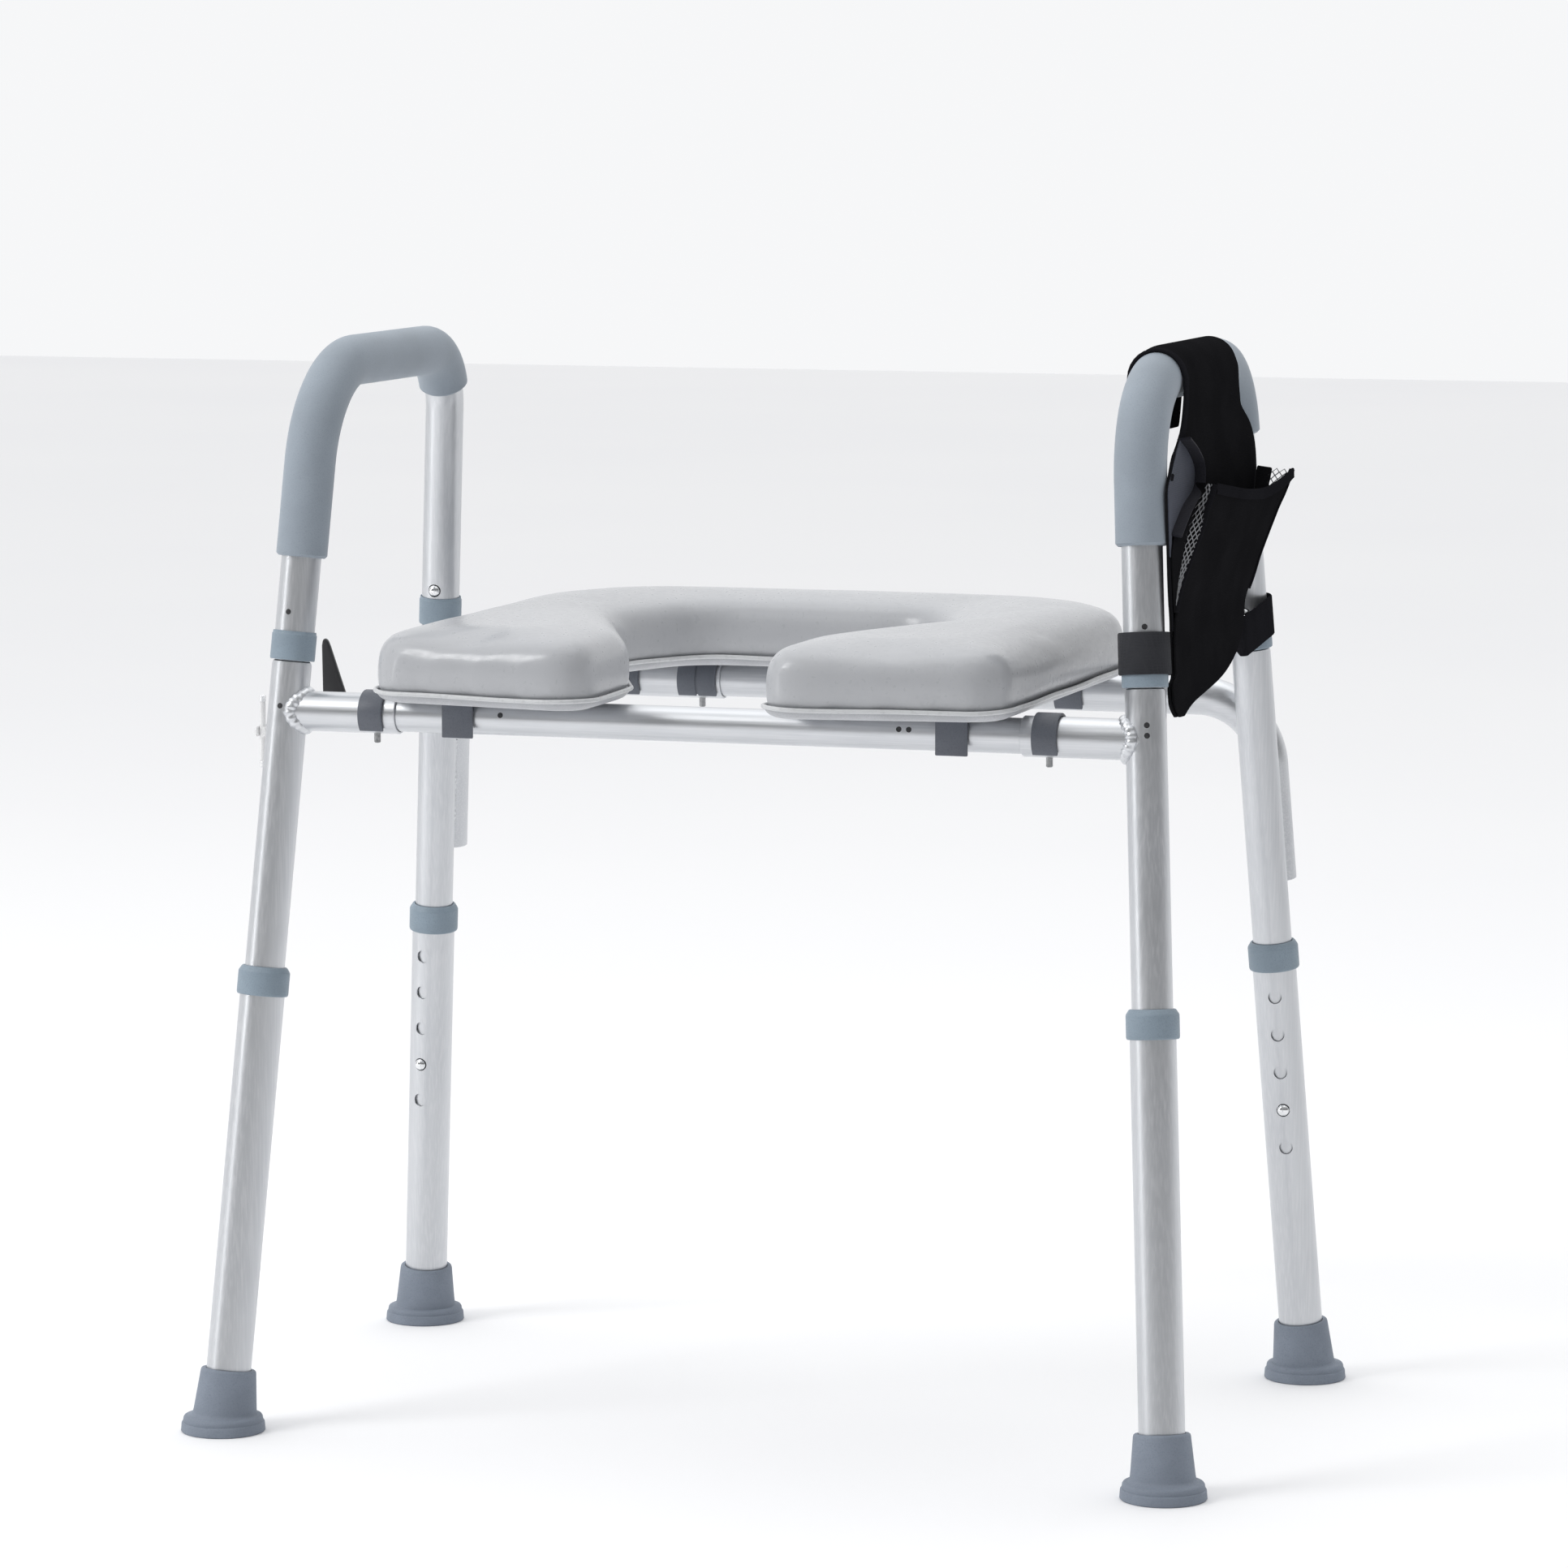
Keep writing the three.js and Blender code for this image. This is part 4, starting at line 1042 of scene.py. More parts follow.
def inflate(obj, pinned_below, most):
    """Blows the cover up a little by cloth simulation; what lies below a height stays where it is."""
    remesh = obj.modifiers.new("remesh", "REMESH")
    remesh.mode = "VOXEL"
    remesh.voxel_size = PAD_VOXEL
    applied(obj)
    rest = coordinates(obj.data)
    group = obj.vertex_groups.new(name="held")
    held = [v.index for v in obj.data.vertices if v.co.z < pinned_below]
    group.add(held, 1.0, "REPLACE")
    cloth = obj.modifiers.new("cloth", "CLOTH")
    settings = cloth.settings
    settings.quality = 6
    settings.mass = 0.4
    settings.use_pressure = True
    settings.uniform_pressure_force = 4
    for kind, stiffness in (("tension", 28), ("compression", 28), ("shear", 12), ("bending", 6)):
        setattr(settings, f"{kind}_stiffness", stiffness)
    settings.vertex_group_mass = "held"
    settings.effector_weights.gravity = 0
    cloth.point_cache.frame_start = 1
    cloth.point_cache.frame_end = INFLATE_FRAMES
    for number in range(1, INFLATE_FRAMES + 1):
        SCENE.frame_set(number)
    evaluated = obj.evaluated_get(bpy.context.evaluated_depsgraph_get())
    move = coordinates(evaluated.data) - rest
    length = np.maximum(np.linalg.norm(move, axis=1), 1e-9)
    move *= np.minimum(1, most / length)[:, None]
    obj.modifiers.clear()
    obj.vertex_groups.clear()
    obj.data.vertices.foreach_set("co", (rest + move).ravel())
    obj.data.update()
    SCENE.frame_set(1)


def seat_pad(material):
    """Foam pad in a vinyl cover: blown up by simulation, then gathered a little above the welt."""
    shrink, start_z = 0.9 * MM, SEAT_LOW.z
    height = SEAT_HIGH.z - start_z - 2.6 * MM
    levels = [(2 * MM, start_z - 3 * MM)]
    levels += [(shrink + inset, start_z + rise) for inset, rise in pad_profile(height)]
    obj = in_scene("cushion", stacked("cushion", levels))
    inflate(obj, start_z + 2 * MM, 3.4 * MM)
    relax = obj.modifiers.new("relax", "CORRECTIVE_SMOOTH")
    relax.factor = 0.5
    relax.iterations = 6
    relax.use_only_smooth = True
    finer = obj.modifiers.new("finer", "SUBSURF")
    finer.levels = finer.render_levels = 1
    applied(obj)
    gather(obj.data, start_z)
    smooth(obj.data, 70)
    obj.data.materials.clear()
    obj.data.materials.append(material)
    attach(obj, "seat")
    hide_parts("seat_pad")


def gather(mesh, start_z):
    """Small puckers where the vinyl is pulled down to the welt, fading out upwards."""
    start, reach, depth = 1 * MM, 13 * MM, 0.14 * MM
    for vertex in mesh.vertices:
        rise = vertex.co.z - start_z
        if not start < rise < reach:
            continue
        fade = math.sin(math.pi * rise / reach) * 0.5
        angle = math.atan2(vertex.co.y, vertex.co.x)
        wave = math.sin(angle * 61) + 0.6 * math.sin(angle * 97 + 1.3) + 0.5 * math.sin(angle * 149 + 0.4)
        outward = Vector((vertex.normal.x, vertex.normal.y, 0))
        vertex.co += outward * (fade * wave * depth)
    mesh.update()


def seat_welt(material):
    """The piping between cover and board, wandering a little up and down as sewn piping does."""
    z = SEAT_LOW.z + 0.1 * MM
    path = []
    for i, point in enumerate(outline_ring(0.2 * MM, z)):
        wander = 0.35 * math.sin(i * 0.31) + 0.3 * math.sin(i * 0.13 + 1)
        path.append(point + Z * (wander * MM * 0.7))
    rows = []
    count = len(path)
    for i in range(count):
        tangent = (path[(i + 1) % count] - path[i - 1]).normalized()
        across = Z.cross(tangent).normalized()
        rows.append((path[i], tangent, across))
    points = [p for c, t, u in rows for p in ring_points(c, t, WELT_R, 12, u)]
    welt = make_mesh("seat_welt", points, row_faces(count, 12, True, True), 80)
    show(welt, material, "seat")


def seat_board(material, screw):
    """The board: a wrapped, tapered rim, with the underside's edge rounded and screws by the clips."""
    low, high = BOARD_LOW.z, BOARD_HIGH.z
    underside = ((10, 0), (8.6, 0), (6.5, 0.5), (4.4, 1.4), (2.6, 2.8), (1.4, 4.4))
    levels = [(inset * MM, low + rise * MM) for inset, rise in underside]
    levels += [(1.2 * MM, high - 0.5 * MM), (1.8 * MM, high)]
    show(stacked("seat_board", levels), material, "seat", ["seat_base"])
    profile = [(r * MM, t * MM) for r, t in ((0, 0), (1.6, 0.1), (2.8, 0.6), (3.3, 1.3), (0, 1.3))]
    for clip in ("front_left", "front_right", "rear_left", "rear_right"):
        box_low, box_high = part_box(f"seat_clip_{clip}")
        middle = (box_low + box_high) / 2
        for s, letter in ((-1, "a"), (1, "b")):
            head = Vector((middle.x + s * 17 * MM, middle.y, low - 1.1 * MM))
            show(lathe(f"screw_{clip}_{letter}", profile, head, Z, 24, False), screw, "seat")


# ---- Arm handles ----
def arm_handle(side_name, metal, foam_material):
    front, rear = LEGS[f"front_{side_name}"], LEGS[f"rear_{side_name}"]
    above = SHOULDER_ABOVE_COLLAR + 0.6 * MM
    start, end = [(leg.span("upper_collar")[0] + above) * leg.up.z for leg in (front, rear)]
    path = handle_path(side_name, start, end)
    mesh = tube(f"arch_{side_name}", path, LEG_R, LEG_R - WALL)
    holes = [button_hole(leg, "handle_button") for leg in (front, rear)]
    node = f"handle_tube_{side_name}"
    show(punched(mesh, holes, path), metal, "frame", [node], f"arch_{side_name}")

    grip_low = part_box(f"handle_grip_{side_name}")[0].z + 2.2 * MM
    share, rear_z = (0.75, None) if side_name == "left" else (1.0, 630 * MM)
    grip_path = handle_path(side_name, grip_low, rear_z, share)
    node = f"handle_grip_{side_name}"
    grip = tube(f"foam_{side_name}", grip_path, GRIP_R, LEG_R + 0.1 * MM, 1.6 * MM, 56)
    show(grip, foam_material, "frame", [node])


# ---- Matching dots, in place of letters ----
DOT_R = 1.9 * MM
DOT_PITCH = 6.4 * MM


def dot(name, base, up, height, facing, tube_r, material):
    """A printed disc that follows the wall of a tube."""
    centre_dir = (facing - up * facing.dot(up)).normalized()
    across = up.cross(centre_dir)
    points = []
    rings = 6
    for i in range(rings + 1):
        for k in range(28):
            a = 2 * math.pi * k / 28
            reach = DOT_R * i / rings
            angle = reach * math.cos(a) / tube_r
            outward = centre_dir * math.cos(angle) + across * math.sin(angle)
            lift = tube_r + (0.06 * MM if i < rings else -0.05 * MM)
            points.append(base + up * (height + reach * math.sin(a)) + outward * lift)
    show(make_mesh(name, points, row_faces(rings + 1, 28, False, True)), material)


def matching_dots(material, bars):
    """One dot on the left-hand tubes and two on the right-hand ones, where the tubes are matched."""
    for side_name, count in (("left", 1), ("right", 2)):
        leg = LEGS[f"front_{side_name}"]
        collar = leg.span("upper_collar")[1]
        facing = Vector((-0.05 if leg.side < 0 else 0.3, -1, 0))
        for where, low in (("arch", collar + 12 * MM), ("leg", collar - 48 * MM)):
            for i in range(count):
                name, height = f"dot_{where}_{side_name}_{i + 1}", low + i * DOT_PITCH
                dot(name, leg.base, leg.up, height, facing, LEG_R, material)
        for i in range(count):
            name, across = f"dot_bar_{side_name}_{i + 1}", leg.side * (134 * MM - i * DOT_PITCH)
            dot(name, bars["front"], X, across, Vector((0, -1, 0.25)), BAR_R, material)


# ---- Paper roll holder ----
SPINDLE_R = 4 * MM
FORK_LENGTH = 38 * MM
TOGGLE_PROFILE = ((0, -24), (1.2, -23.7), (1.8, -23), (1.8, -19), (2.0, -18.5), (2.0, 18.5), (1.8, 19),
                  (1.8, 23), (1.2, 23.7), (0, 24))
TOGGLE_TIP = ((1.95, 19.4), (2.15, 19.6), (2.15, 23.2), (1.5, 23.9), (0, 24))
CLAMP_Z = 425 * MM
ARM_END_Y = 86 * MM
PLATE_Y = 84 * MM
PLATE = ((15.5, 420), (18.5, 430), (16.5, 446), (5.5, 478), (4, 481.5), (2, 483), (0.6, 481.5), (0, 478),
         (0.5, 446), (0.5, 430), (3.5, 420))


def roll_holder(black, white, steel):
    low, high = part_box("holder_spindle")
    x, z = (low.x + high.x) / 2, (low.z + high.z) / 2
    ends = [Vector((x, high.y, z)), Vector((x, low.y + 5.4 * MM, z))]
    rod = shortened_rod(tube("spindle_rod", ends, SPINDLE_R, 0, 0.8 * MM, 32), low.y + FORK_LENGTH - 1 * MM)
    fork = []
    for s in (-1, 1):
        turns = [math.radians(-56 + 112 * i / 12) for i in range(13)]
        outline = [(SPINDLE_R * math.cos(a) * s, SPINDLE_R * math.sin(a)) for a in turns]
        fork.append(slab("fork", outline, placed((x, low.y, z), X, Z, Y), FORK_LENGTH, 0.3 * MM))
    show(joined("spindle", rod, *fork), white, "frame", ["holder_spindle"], "spindle")
    toggle(white, steel)
    bracket(LEGS["rear_left"], Vector((x, high.y, z)), black)


def toggle(white, steel):
    """The rod across the spindle's end, its steel tips and the pin that it turns on."""
    pivot = Vector(JOINTS["toggle_fold"]["pos_m"])
    stick = lathe("toggle_rod", in_metres(TOGGLE_PROFILE), pivot, Z, 28, False)
    show(stick, white, "toggle", ["holder_toggle"], "toggle_rod")
    low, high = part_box("holder_toggle")
    reach = X * ((high.x - low.x) / 2)
    pin = tube("toggle_pin", [pivot - reach, pivot + reach], 1.05 * MM, 0, 0.2 * MM, 20)
    show(pin, steel, "toggle")
    for s, name in ((-1, "low"), (1, "high")):
        profile = [(r, s * t) for r, t in in_metres(TOGGLE_TIP)]
        show(lathe(f"toggle_tip_{name}", profile, pivot, Z, 28, False), steel, "toggle")


def shortened_rod(mesh, rear_of):
    """Keeps the part of a rod behind a plane across Y."""
    bm = bmesh.new()
    bm.from_mesh(mesh)
    plane = {"plane_co": (0, rear_of, 0), "plane_no": (0, -1, 0), "clear_outer": True}
    cut = bmesh.ops.bisect_plane(bm, geom=bm.verts[:] + bm.edges[:] + bm.faces[:], **plane)
    edges = [g for g in cut["geom_cut"] if isinstance(g, bmesh.types.BMEdge)]
    bmesh.ops.edgeloop_fill(bm, edges=edges)
    return mesh_of("rod", bm)


def bracket(leg, spindle_end, material):
    """The clamp round the leg, its arm, and the back plate with a pointed tip."""
    band = c_outline(LEG_R + 0.3 * MM, LEG_R + 3.2 * MM, 150, 390)
    clamp = slab("clamp", band, placed(leg.at(CLAMP_Z), leg.across, leg.back, leg.up), 18 * MM, 0.6 * MM)
    start = leg.at(spindle_end.z)
    reach = Vector((spindle_end.x - start.x, ARM_END_Y - start.y, 0))
    along = reach.normalized()
    sideways = Z.cross(along)
    root, end = LEG_R + 1.6 * MM, reach.length
    outline = [(root, -7 * MM), (end, -6 * MM), (end, 6 * MM), (root, 7 * MM)]
    place = placed(start - sideways * 3.5 * MM, along, Z, sideways)
    arm = slab("arm", outline, place, 7 * MM, 1.4 * MM, 32, 3)
    tip_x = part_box("holder_bracket")[0].x
    outline = [(tip_x + u, v) for u, v in in_metres(PLATE)]
    plate = slab("plate", outline, placed((0, PLATE_Y, 0), X, Z, Y), 4 * MM, 1 * MM, 20, 3)
    show(joined("bracket", clamp, arm, plate), material, "frame", ["holder_bracket"])


# ---- Hanging bag ----
HANG_X = LEGS["front_right"].at(HANDLE_AXIS_Z).x + 0.4 * MM
HANG_R = GRIP_R + 1.3 * MM
PANEL_TOP_X = 287.9 * MM
PANEL_LEAN = 0.043
CLOTH = 1.3 * MM
MOUTH_Z = 612 * MM
FOLD_Z = 528 * MM
BOTTOM_Z = 471 * MM
MOUTH_OUT = 22 * MM
TUCK_FROM_Y, TUCK_REACH, TUCK_BELOW_Z = -98 * MM, 22 * MM, 495 * MM
BAND_FRONT, BAND_REAR = -63 * MM, 71 * MM
BAND_END_Z = 638 * MM
SEAM_FOOT_Z, SEAM_TOP_Z = 583 * MM, 640 * MM
GUSSET_FOOT_Z = 536 * MM
NET_FOOT_Z = 540 * MM
NET_FROM_SHARE, CLOTH_TO_SHARE = 0.4, 0.48


def panel_x(z):
    return PANEL_TOP_X + (HANDLE_AXIS_Z - z) * PANEL_LEAN


def eased(value, pairs):
    """A smooth curve through (position, value) pairs given in rising order of position."""
    last = len(pairs) - 1
    value = min(max(value, pairs[0][0]), pairs[last][0])
    i = next(k for k in range(last) if value <= pairs[k + 1][0])
    slopes = []
    for k in (i, i + 1):
        before, after = pairs[max(k - 1, 0)], pairs[min(k + 1, last)]
        slopes.append((after[1] - before[1]) / (after[0] - before[0]))
    span = pairs[i + 1][0] - pairs[i][0]
    t = (value - pairs[i][0]) / span
    start = pairs[i][1] * (1 + 2 * t) * (1 - t) ** 2 + slopes[0] * span * t * (1 - t) ** 2
    return start + pairs[i + 1][1] * t * t * (3 - 2 * t) - slopes[1] * span * t * t * (1 - t)


# Edges of the back panel and the pocket, and the front seam, as (height, y) in millimetres.
PANEL_FRONT = in_metres([
    (471, -112), (480, -121), (605, -121), (614, -118), (630, -100), (640, -86), (652, -74), (666, -66),
    (678, -63),
])
PANEL_REAR = in_metres([
    (471, -100), (477, -80), (481, -46), (487, 1), (494, 24), (500, 37), (506, 47), (513, 54), (525, 59),
    (552, 68), (578, 86), (600, 108), (622, 111), (640, 98), (652, 72),
])
POCKET_FRONT = in_metres([
    (471, -110), (482, -119), (532, -120), (554, -111), (575, -92), (600, -76), (612, -68),
])
POCKET_REAR = in_metres([
    (471, -102), (477, -84), (481, -48), (487, -1), (494, 23), (499, 35), (506, 47), (513, 54), (525, 59),
    (535, 64), (552, 76), (580, 95), (612, 114),
])
SEAM = in_metres([
    (583, -120), (590, -107), (599, -87), (606, -64), (612, -57), (622, -57), (632, -71), (640, -90),
])


def solid_cloth(mesh, thickness):
    """Gives a single sheet its thickness, with a rim."""
    obj = in_scene("cloth_work", mesh)
    finer = obj.modifiers.new("finer", "SUBSURF")
    finer.levels = finer.render_levels = 1
    thick = obj.modifiers.new("thick", "SOLIDIFY")
    thick.thickness = thickness
    thick.offset = 0
    out = applied(obj)
    bpy.data.objects.remove(obj)
    return smooth(out, 55)


def wrinkle(y, z, size):
    """An outward ripple of the cloth: the sum of three waves, where it is above nothing."""
    waves = ((1, 95, 60, 0), (0.6, 41, -130, 1), (0.5, 20, 210, 0))
    return size * max(0, sum(share * math.sin(y * a + z * b + c) for share, a, b, c in waves))


def tucked(y, z, depth):
    """How far the bottom front corner is drawn in towards the leg."""
    share = max(0, min(1, (TUCK_FROM_Y - y) / TUCK_REACH))
    return depth * share if z < TUCK_BELOW_Z else 0


def grip_drop(y):
    """How far the grip has bent down below its level run at a y near its front end."""
    leg = LEGS["front_right"]
    corner = leg.at(HANDLE_AXIS_Z)
    top = (LEGS["rear_right"].at(HANDLE_AXIS_Z) - corner).normalized()
    start = corner.y + FRONT_BEND * math.tan(math.acos(leg.up.dot(top)) / 2)
    past = min(max(0, start - y), FRONT_BEND * 0.9)
    return FRONT_BEND - math.sqrt(FRONT_BEND**2 - past**2)


def back_rows():
    """The back's run from its inner end, over the grip and down outside: (x, z, front y, rear y, drop)."""
    rows = []
    for i in range(9):
        inner = 1 - i / 8
        z = BAND_END_Z + (HANDLE_AXIS_Z - BAND_END_Z) * i / 8
        edges = BAND_FRONT + 6 * MM * inner, BAND_REAR - 9 * MM * inner**2
        rows.append((HANG_X - HANG_R, z, *edges, 1))
    for i in range(1, 14):
        a = math.pi * (1 - i / 14)
        x, z = HANG_X + HANG_R * math.cos(a), HANDLE_AXIS_Z + HANG_R * math.sin(a)
        rows.append((x, z, BAND_FRONT, BAND_REAR, 1))
    for i in range(51):
        z = HANDLE_AXIS_Z + (BOTTOM_Z - HANDLE_AXIS_Z) * i / 50
        x = max(panel_x(z), HANG_X + HANG_R - (HANDLE_AXIS_Z - z) * 0.32)
        front, rear = eased(z, PANEL_FRONT), eased(z, PANEL_REAR)
        rows.append((x, z, front, max(rear, front + 4 * MM), max(0, 1 - i / 12)))
    return rows


def bag_back(cloth, dark_binding):
    """The band over the grip and the back panel below it, cut in one, hung over the grip."""
    rows = back_rows()
    last = len(rows) - 1

    def point(u, v):
        x, z, y0, y1, drop = rows[round(u * last)]
        y = y0 + (y1 - y0) * v
        ripple = wrinkle(y, z, 0.35 * MM) if x > HANG_X else 0
        return Vector((x + ripple - tucked(y, z, 2.6 * MM), y, z - grip_drop(y) * drop))

    sheet = solid_cloth(grid_mesh("bag_back", len(rows), 38, point), CLOTH)
    obj = show(sheet, cloth, "frame", ["bag_back_panel"], "bag_back")
    edge = [point(i / last, 0.02) for i in range(last - 12)]
    hem = ribbon("bag_band_hem", edge, Y, 6.5 * MM, 2.3 * MM, dark_binding)


def bag_margin(margin_sheen_cloth, binding):
    """The strip in front of the seam, a lighter blue-grey sheet laid on the black panel as painted sheen,
    and the tape along the seam from its foot up to the band.
    """

    def patch(u, v):
        z = (570 + 69 * u) * MM
        front = eased(z, PANEL_FRONT) + 0.5 * MM
        return Vector((panel_x(z) + 1.1 * MM, front + (eased(z, SEAM) + 4 * MM - front) * v, z))

    # Painted sheen: this lighter sheet stands for light glancing off the black cloth in front of the seam.
    margin = solid_cloth(grid_mesh("bag_margin", 26, 10, patch), 0.7 * MM)
    piece = show(margin, margin_sheen_cloth, "frame", (), "bag_margin_sheen_strip")
    heights = [SEAM_FOOT_Z + (SEAM_TOP_Z - SEAM_FOOT_Z) * i / 40 for i in range(41)]
    tape = [Vector((panel_x(z) + 3.6 * MM, eased(z, SEAM) + 4 * MM, z)) for z in heights]
    ribbon("bag_seam_tape", tape, Vector((0.9, 0.42, 0)), 8.6 * MM, 1.8 * MM, binding)


def bulge(y, z):
    """How far the pocket stands off the back panel: nothing at the fold, the full depth at the mouth."""
    rise = max(0, min(1, (z - FOLD_Z) / (MOUTH_Z - FOLD_Z)))
    front, rear = eased(z, POCKET_FRONT), eased(z, POCKET_REAR)
    share = min(1, max(0, (y - front) / (rear - front)))
    across = 0.74 + 0.26 * math.sin(math.pi / 2 * min(1, share * 1.8)) + 0.1 * math.sin(math.pi * share)
    return MOUTH_OUT * across * rise**1.2


def pocket_point(u, v):
    """u runs from the bottom to the mouth, v from front to rear."""
    z = BOTTOM_Z + (MOUTH_Z - BOTTOM_Z) * u
    front, rear = eased(z, POCKET_FRONT), eased(z, POCKET_REAR)
    y = front + (max(rear, front + 3 * MM) - front) * v
    sag = (8 * math.sin(math.pi * v) + 2.5 * v) * MM * u**6
    x = panel_x(z) + 2.0 * MM + bulge(y, z) + wrinkle(y, z, 0.4 * MM) - tucked(y, z, 2.4 * MM)
    return Vector((x, y, z - sag))


def bag_pocket(cloth, dark_binding):
    sheet = solid_cloth(grid_mesh("bag_pocket", 44, 36, pocket_point), CLOTH)
    obj = show(sheet, cloth, "frame", ["bag_pocket_panel"], "bag_pocket")
    hem = [pocket_point(1.0, i / 40) + Vector((0.1 * MM, 0, -3.2 * MM)) for i in range(41)]
    tape = ribbon("bag_hem", hem, Z, 6.6 * MM, 2.0 * MM, dark_binding)


RIBBON_QUARTER = ((0.5, 0.28), (0.42, 0.5))
RIBBON_SECTION = [
    *RIBBON_QUARTER, *((-a, b) for a, b in reversed(RIBBON_QUARTER)),
    *((-a, -b) for a, b in RIBBON_QUARTER), *((a, -b) for a, b in reversed(RIBBON_QUARTER)),
]


def ribbon(name, path, up, width, thickness, material):
    """A flat tape along a path, its width along up, with rounded edges."""
    points, count = [], len(RIBBON_SECTION)
    for point, tangent, _ in path_frames(path):
        high = (up - tangent * up.dot(tangent)).normalized()
        out = tangent.cross(high)
        points += [point + high * (a * width) + out * (b * thickness) for a, b in RIBBON_SECTION]
    faces = row_faces(len(path), count, False, True)
    faces += [tuple(range(count)), tuple(range(len(points) - count, len(points)))]
    return show(make_mesh(name, points, faces, 50), material)


def gusset_edges(name, z):
    """The two edges of a gusset at a height: on the back panel, and on the pocket's edge."""
    if name == "front":
        outer_y, across = eased(z, POCKET_FRONT), 0
        share = min(1, max(0, (z - SEAM_FOOT_Z + 10 * MM) / (10 * MM)))
        inner_y = min(eased(z, SEAM) + 7 * MM * share, outer_y + 14 * MM)
    else:
        outer_y, across = eased(z, POCKET_REAR), 1
        inner_y = outer_y - 5 * MM
    inner = Vector((panel_x(z) + 2 * MM, inner_y, z))
    outer = pocket_point((z - BOTTOM_Z) / (MOUTH_Z - BOTTOM_Z), across)
    return inner, outer


def gusset_patch(name, low_z, start, end, rows, columns, step):
    """The vertices of a strip of gusset, from a share start to a share end of its width."""
    grid = []
    for i in range(rows + 1):
        z = low_z + (MOUTH_Z - 1 * MM - low_z) * i / rows
        inner, outer = gusset_edges(name, z)
        line = []
        for k in range(columns + 1):
            share = start + (end - start) * k / columns
            point = inner.lerp(outer, share)
            point.y += step * 4 * MM * math.sin(math.pi * share) * i / rows
            line.append(point)
        grid.append(line)
    return grid


def netting(name, net):
    """Knotted netting: diamond cells of real thread across the outer part of a gusset."""
    rows, columns = 30, 6
    inward = 1 if name == "front" else -1
    grid = gusset_patch(name, NET_FOOT_Z, NET_FROM_SHARE, 1.0, rows, columns, inward)
    bm = bmesh.new()
    knots = [(i, k) for i in range(rows + 1) for k in range(columns + 1) if (i + k) % 2 == 0]
    made = {(i, k): bm.verts.new(grid[i][k]) for i, k in knots}
    for i in range(1, rows):
        for k in range(1, columns):
            if (i + k) % 2:
                bm.faces.new([made[i - 1, k], made[i, k + 1], made[i + 1, k], made[i, k - 1]])
    obj = in_scene("net_work", mesh_of("netting", bm))
    thread = obj.modifiers.new("threads", "WIREFRAME")
    thread.thickness = 1.0 * MM
    thread.use_even_offset = False
    out = smooth(applied(obj), 60)
    bpy.data.objects.remove(obj)
    return show(out, net, "frame", (), f"bag_net_{name}")


def bag_gusset(name, cloth, net, binding):
    """A gusset: a plain strip beside the back panel, netting outside it, and a bound outer edge."""
    inward = 1 if name == "front" else -1
    grid = gusset_patch(name, GUSSET_FOOT_Z, 0.0, CLOTH_TO_SHARE, 30, 6, inward)
    points = [p for line in grid for p in line]
    strip = solid_cloth(make_mesh("strip", points, row_faces(len(grid), 7), 60), 0.9 * MM)
    piece = show(strip, cloth, "frame", [f"bag_gusset_{name}"], f"bag_gusset_cloth_{name}")
    outer_edge = [line[-1] for line in gusset_patch(name, GUSSET_FOOT_Z, 0.0, 1.0, 24, 2, inward)]
    tape = ribbon(f"bag_tape_{name}", outer_edge, X, 3.6 * MM, 1.5 * MM, binding)
    carried = [netting(name, net), tape]


STRAP_WIDTH = 26 * MM
STRAP_HALF = 0.6 * MM
STRAP_WRAP_R, STRAP_ANCHOR_R = 15.6 * MM, 2.6 * MM
STRAP_SECTION = ((0, 0.0), (1, 0.03), (1, 0.97), (0, 1.0), (-1, 0.97), (-1, 0.03))


def arc(centre, radius, start, end, steps):
    turns = [start + (end - start) * i / steps for i in range(steps + 1)]
    return [centre + Vector((radius * math.cos(a), radius * math.sin(a))) for a in turns]


def strap(tag, anchor, material):
    """A webbing loop round an upright, drawn to the bag's edge."""
    leg, node = LEGS[tag], f"bag_strap_{tag.split('_')[0]}"
    low = measured(node, leg.base, leg.up)[0] + 1 * MM
    target = Vector(anchor)
    tilt = math.acos((STRAP_WRAP_R - STRAP_ANCHOR_R) / target.length)
    heading = math.atan2(target.y, target.x)
    loop = arc(Vector((0, 0)), STRAP_WRAP_R, heading + tilt, heading + 2 * math.pi - tilt, 48)
    loop += arc(target, STRAP_ANCHOR_R, heading - tilt, heading + tilt, 12)
    path, points = [], []
    for p, q in zip(loop, loop[1:] + loop[:1]):
        steps = max(1, round((q - p).length / (4 * MM)))
        path += [p.lerp(q, k / steps) for k in range(steps)]
    for i, p in enumerate(path):
        tangent = (path[(i + 1) % len(path)] - path[i - 1]).normalized()
        out = Vector((tangent.y, -tangent.x)) * STRAP_HALF
        for side, rise in STRAP_SECTION:
            flat, height = p + out * side, low + rise * STRAP_WIDTH
            points.append(leg.base + leg.across * flat.x + leg.back * flat.y + leg.up * height)
    mesh = make_mesh(f"strap_{tag}", points, row_faces(len(path), len(STRAP_SECTION), True, True), 50)
    show(mesh, material, "frame", [node])


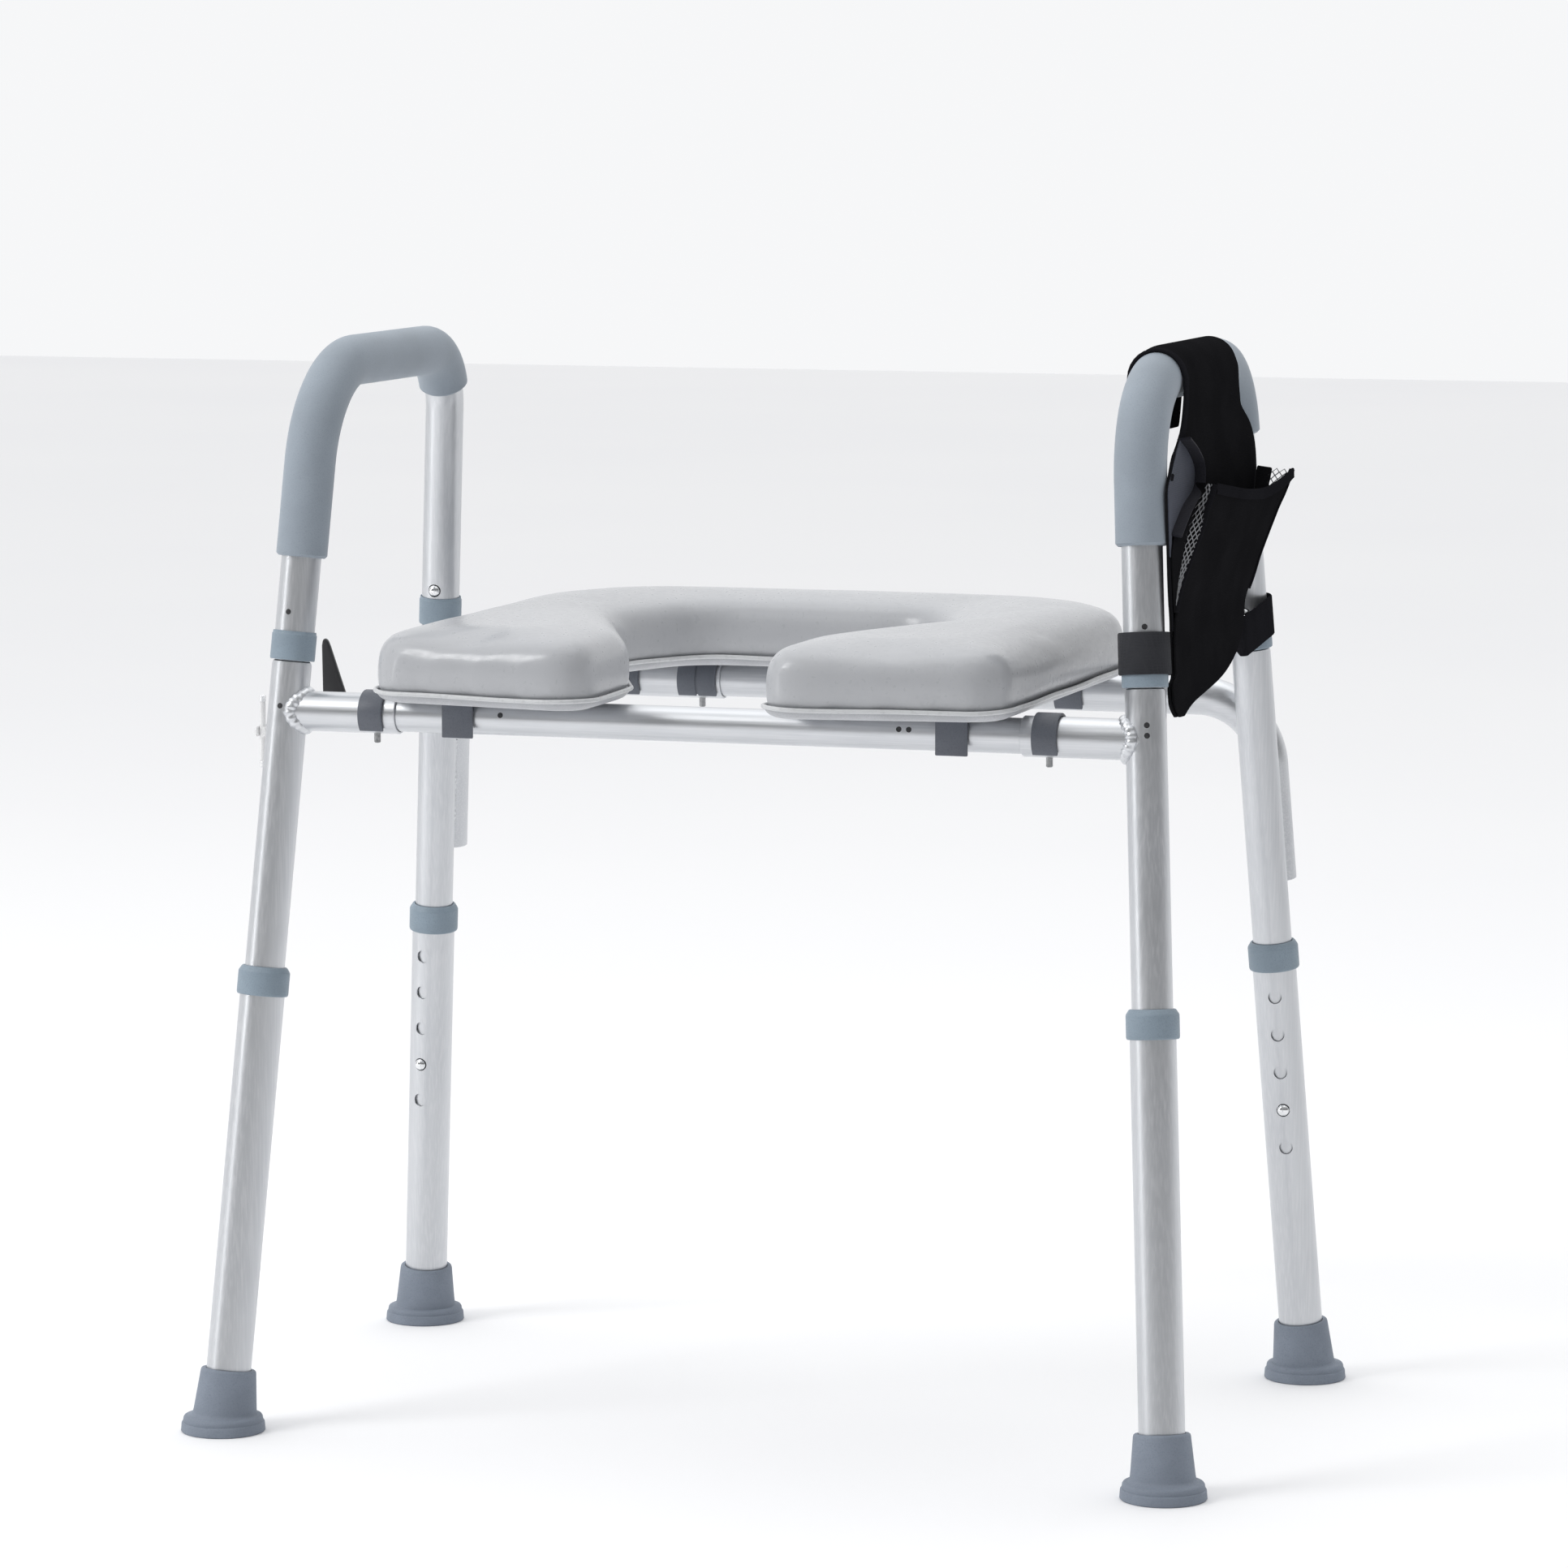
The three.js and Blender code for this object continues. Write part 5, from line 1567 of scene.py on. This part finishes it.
# ---- Build ----
def build():
    add_camera()
    add_studio()
    upright = anodised("aluminium_upright", (1, 1, 0.02))
    cross = anodised("aluminium_cross", (0.02, 1, 1))
    bead = weld_metal()
    steel = chrome()
    collar_plastic = moulded("collar_plastic", (0.24, 0.3, 0.355), 0.5)
    foot_rubber = moulded("foot_rubber", (0.215, 0.248, 0.3), 0.66, 0.00007)
    pin_metal = zinc()
    clip_plastic = moulded("clip_plastic", (0.108, 0.118, 0.14), 0.46)
    foam_material = foam()

    for leg in LEGS.values():
        leg_tube(leg, upright)
        leg_extension(leg, upright)
        lower_collar(leg, collar_plastic)
        upper_collar(leg, collar_plastic)
        foot(leg, foot_rubber)
        button(leg, "leg_button", steel)
        button(leg, "handle_button", steel)
    for side_name in SIDES:
        arm_handle(side_name, upright, foam_material)

    bars = {}
    for end in ("front", "rear"):
        bars[end] = cross_bar(f"cross_bar_{end}", [f"lock_clip_{end}_{s}" for s in SIDES], cross)
    for side_name in SIDES:
        front_stub(LEGS[f"front_{side_name}"], bars["front"], cross, bead)
        rear_side_tube(LEGS[f"rear_{side_name}"], bars["rear"], cross, bead)
        lock_clip(f"lock_clip_front_{side_name}", bars["front"], clip_plastic, pin_metal, False)
        lock_clip(f"lock_clip_rear_{side_name}", bars["rear"], clip_plastic, pin_metal, True)
        saddle_clip(f"seat_clip_front_{side_name}", bars["front"], BOARD_LOW.z - 0.3 * MM, clip_plastic)
        hinge_clip(f"seat_clip_rear_{side_name}", bars["rear"], BOARD_LOW.z - 0.3 * MM, clip_plastic)

    cover = vinyl()
    seat_pad(cover)
    seat_welt(welt_vinyl())
    seat_board(moulded("seat_board", (0.42, 0.43, 0.45), 0.42), pin_metal)
    matching_dots(ink(), bars)

    cloth = woven("bag_cloth", (0.009, 0.009, 0.01), 0.55 * MM, 0.0, 0.0)
    binding = woven("bag_binding", (0.019, 0.019, 0.024), 0.5 * MM, 0.05)
    dark_binding = woven("bag_dark_binding", (0.011, 0.011, 0.013), 0.5 * MM, 0.0, 0.0)
    # A lighter blue-grey copy of the black bag cloth: painted sheen for the strip in front of the seam.
    margin_sheen_cloth = woven("bag_margin_painted_sheen", (0.055, 0.06, 0.078), 0.6 * MM, 0.05)
    net = woven("bag_net", (0.3, 0.305, 0.32), 0.4 * MM, 0.1)
    webbing = woven("bag_webbing", (0.032, 0.033, 0.037), 0.9 * MM, 0.05)
    bag_back(cloth, dark_binding)
    bag_margin(margin_sheen_cloth, binding)
    bag_pocket(cloth, dark_binding)
    for name in ("front", "rear"):
        bag_gusset(name, cloth, net, dark_binding)
    strap("front_right", (11.6 * MM, 21.5 * MM), webbing)
    strap("rear_right", (14 * MM, -75 * MM), dark_binding)

    white = moulded("holder_white", (0.8, 0.8, 0.8), 0.3, 0.00001)
    black = moulded("holder_black", (0.02, 0.02, 0.022), 0.4)
    roll_holder(black, white, steel)


build()
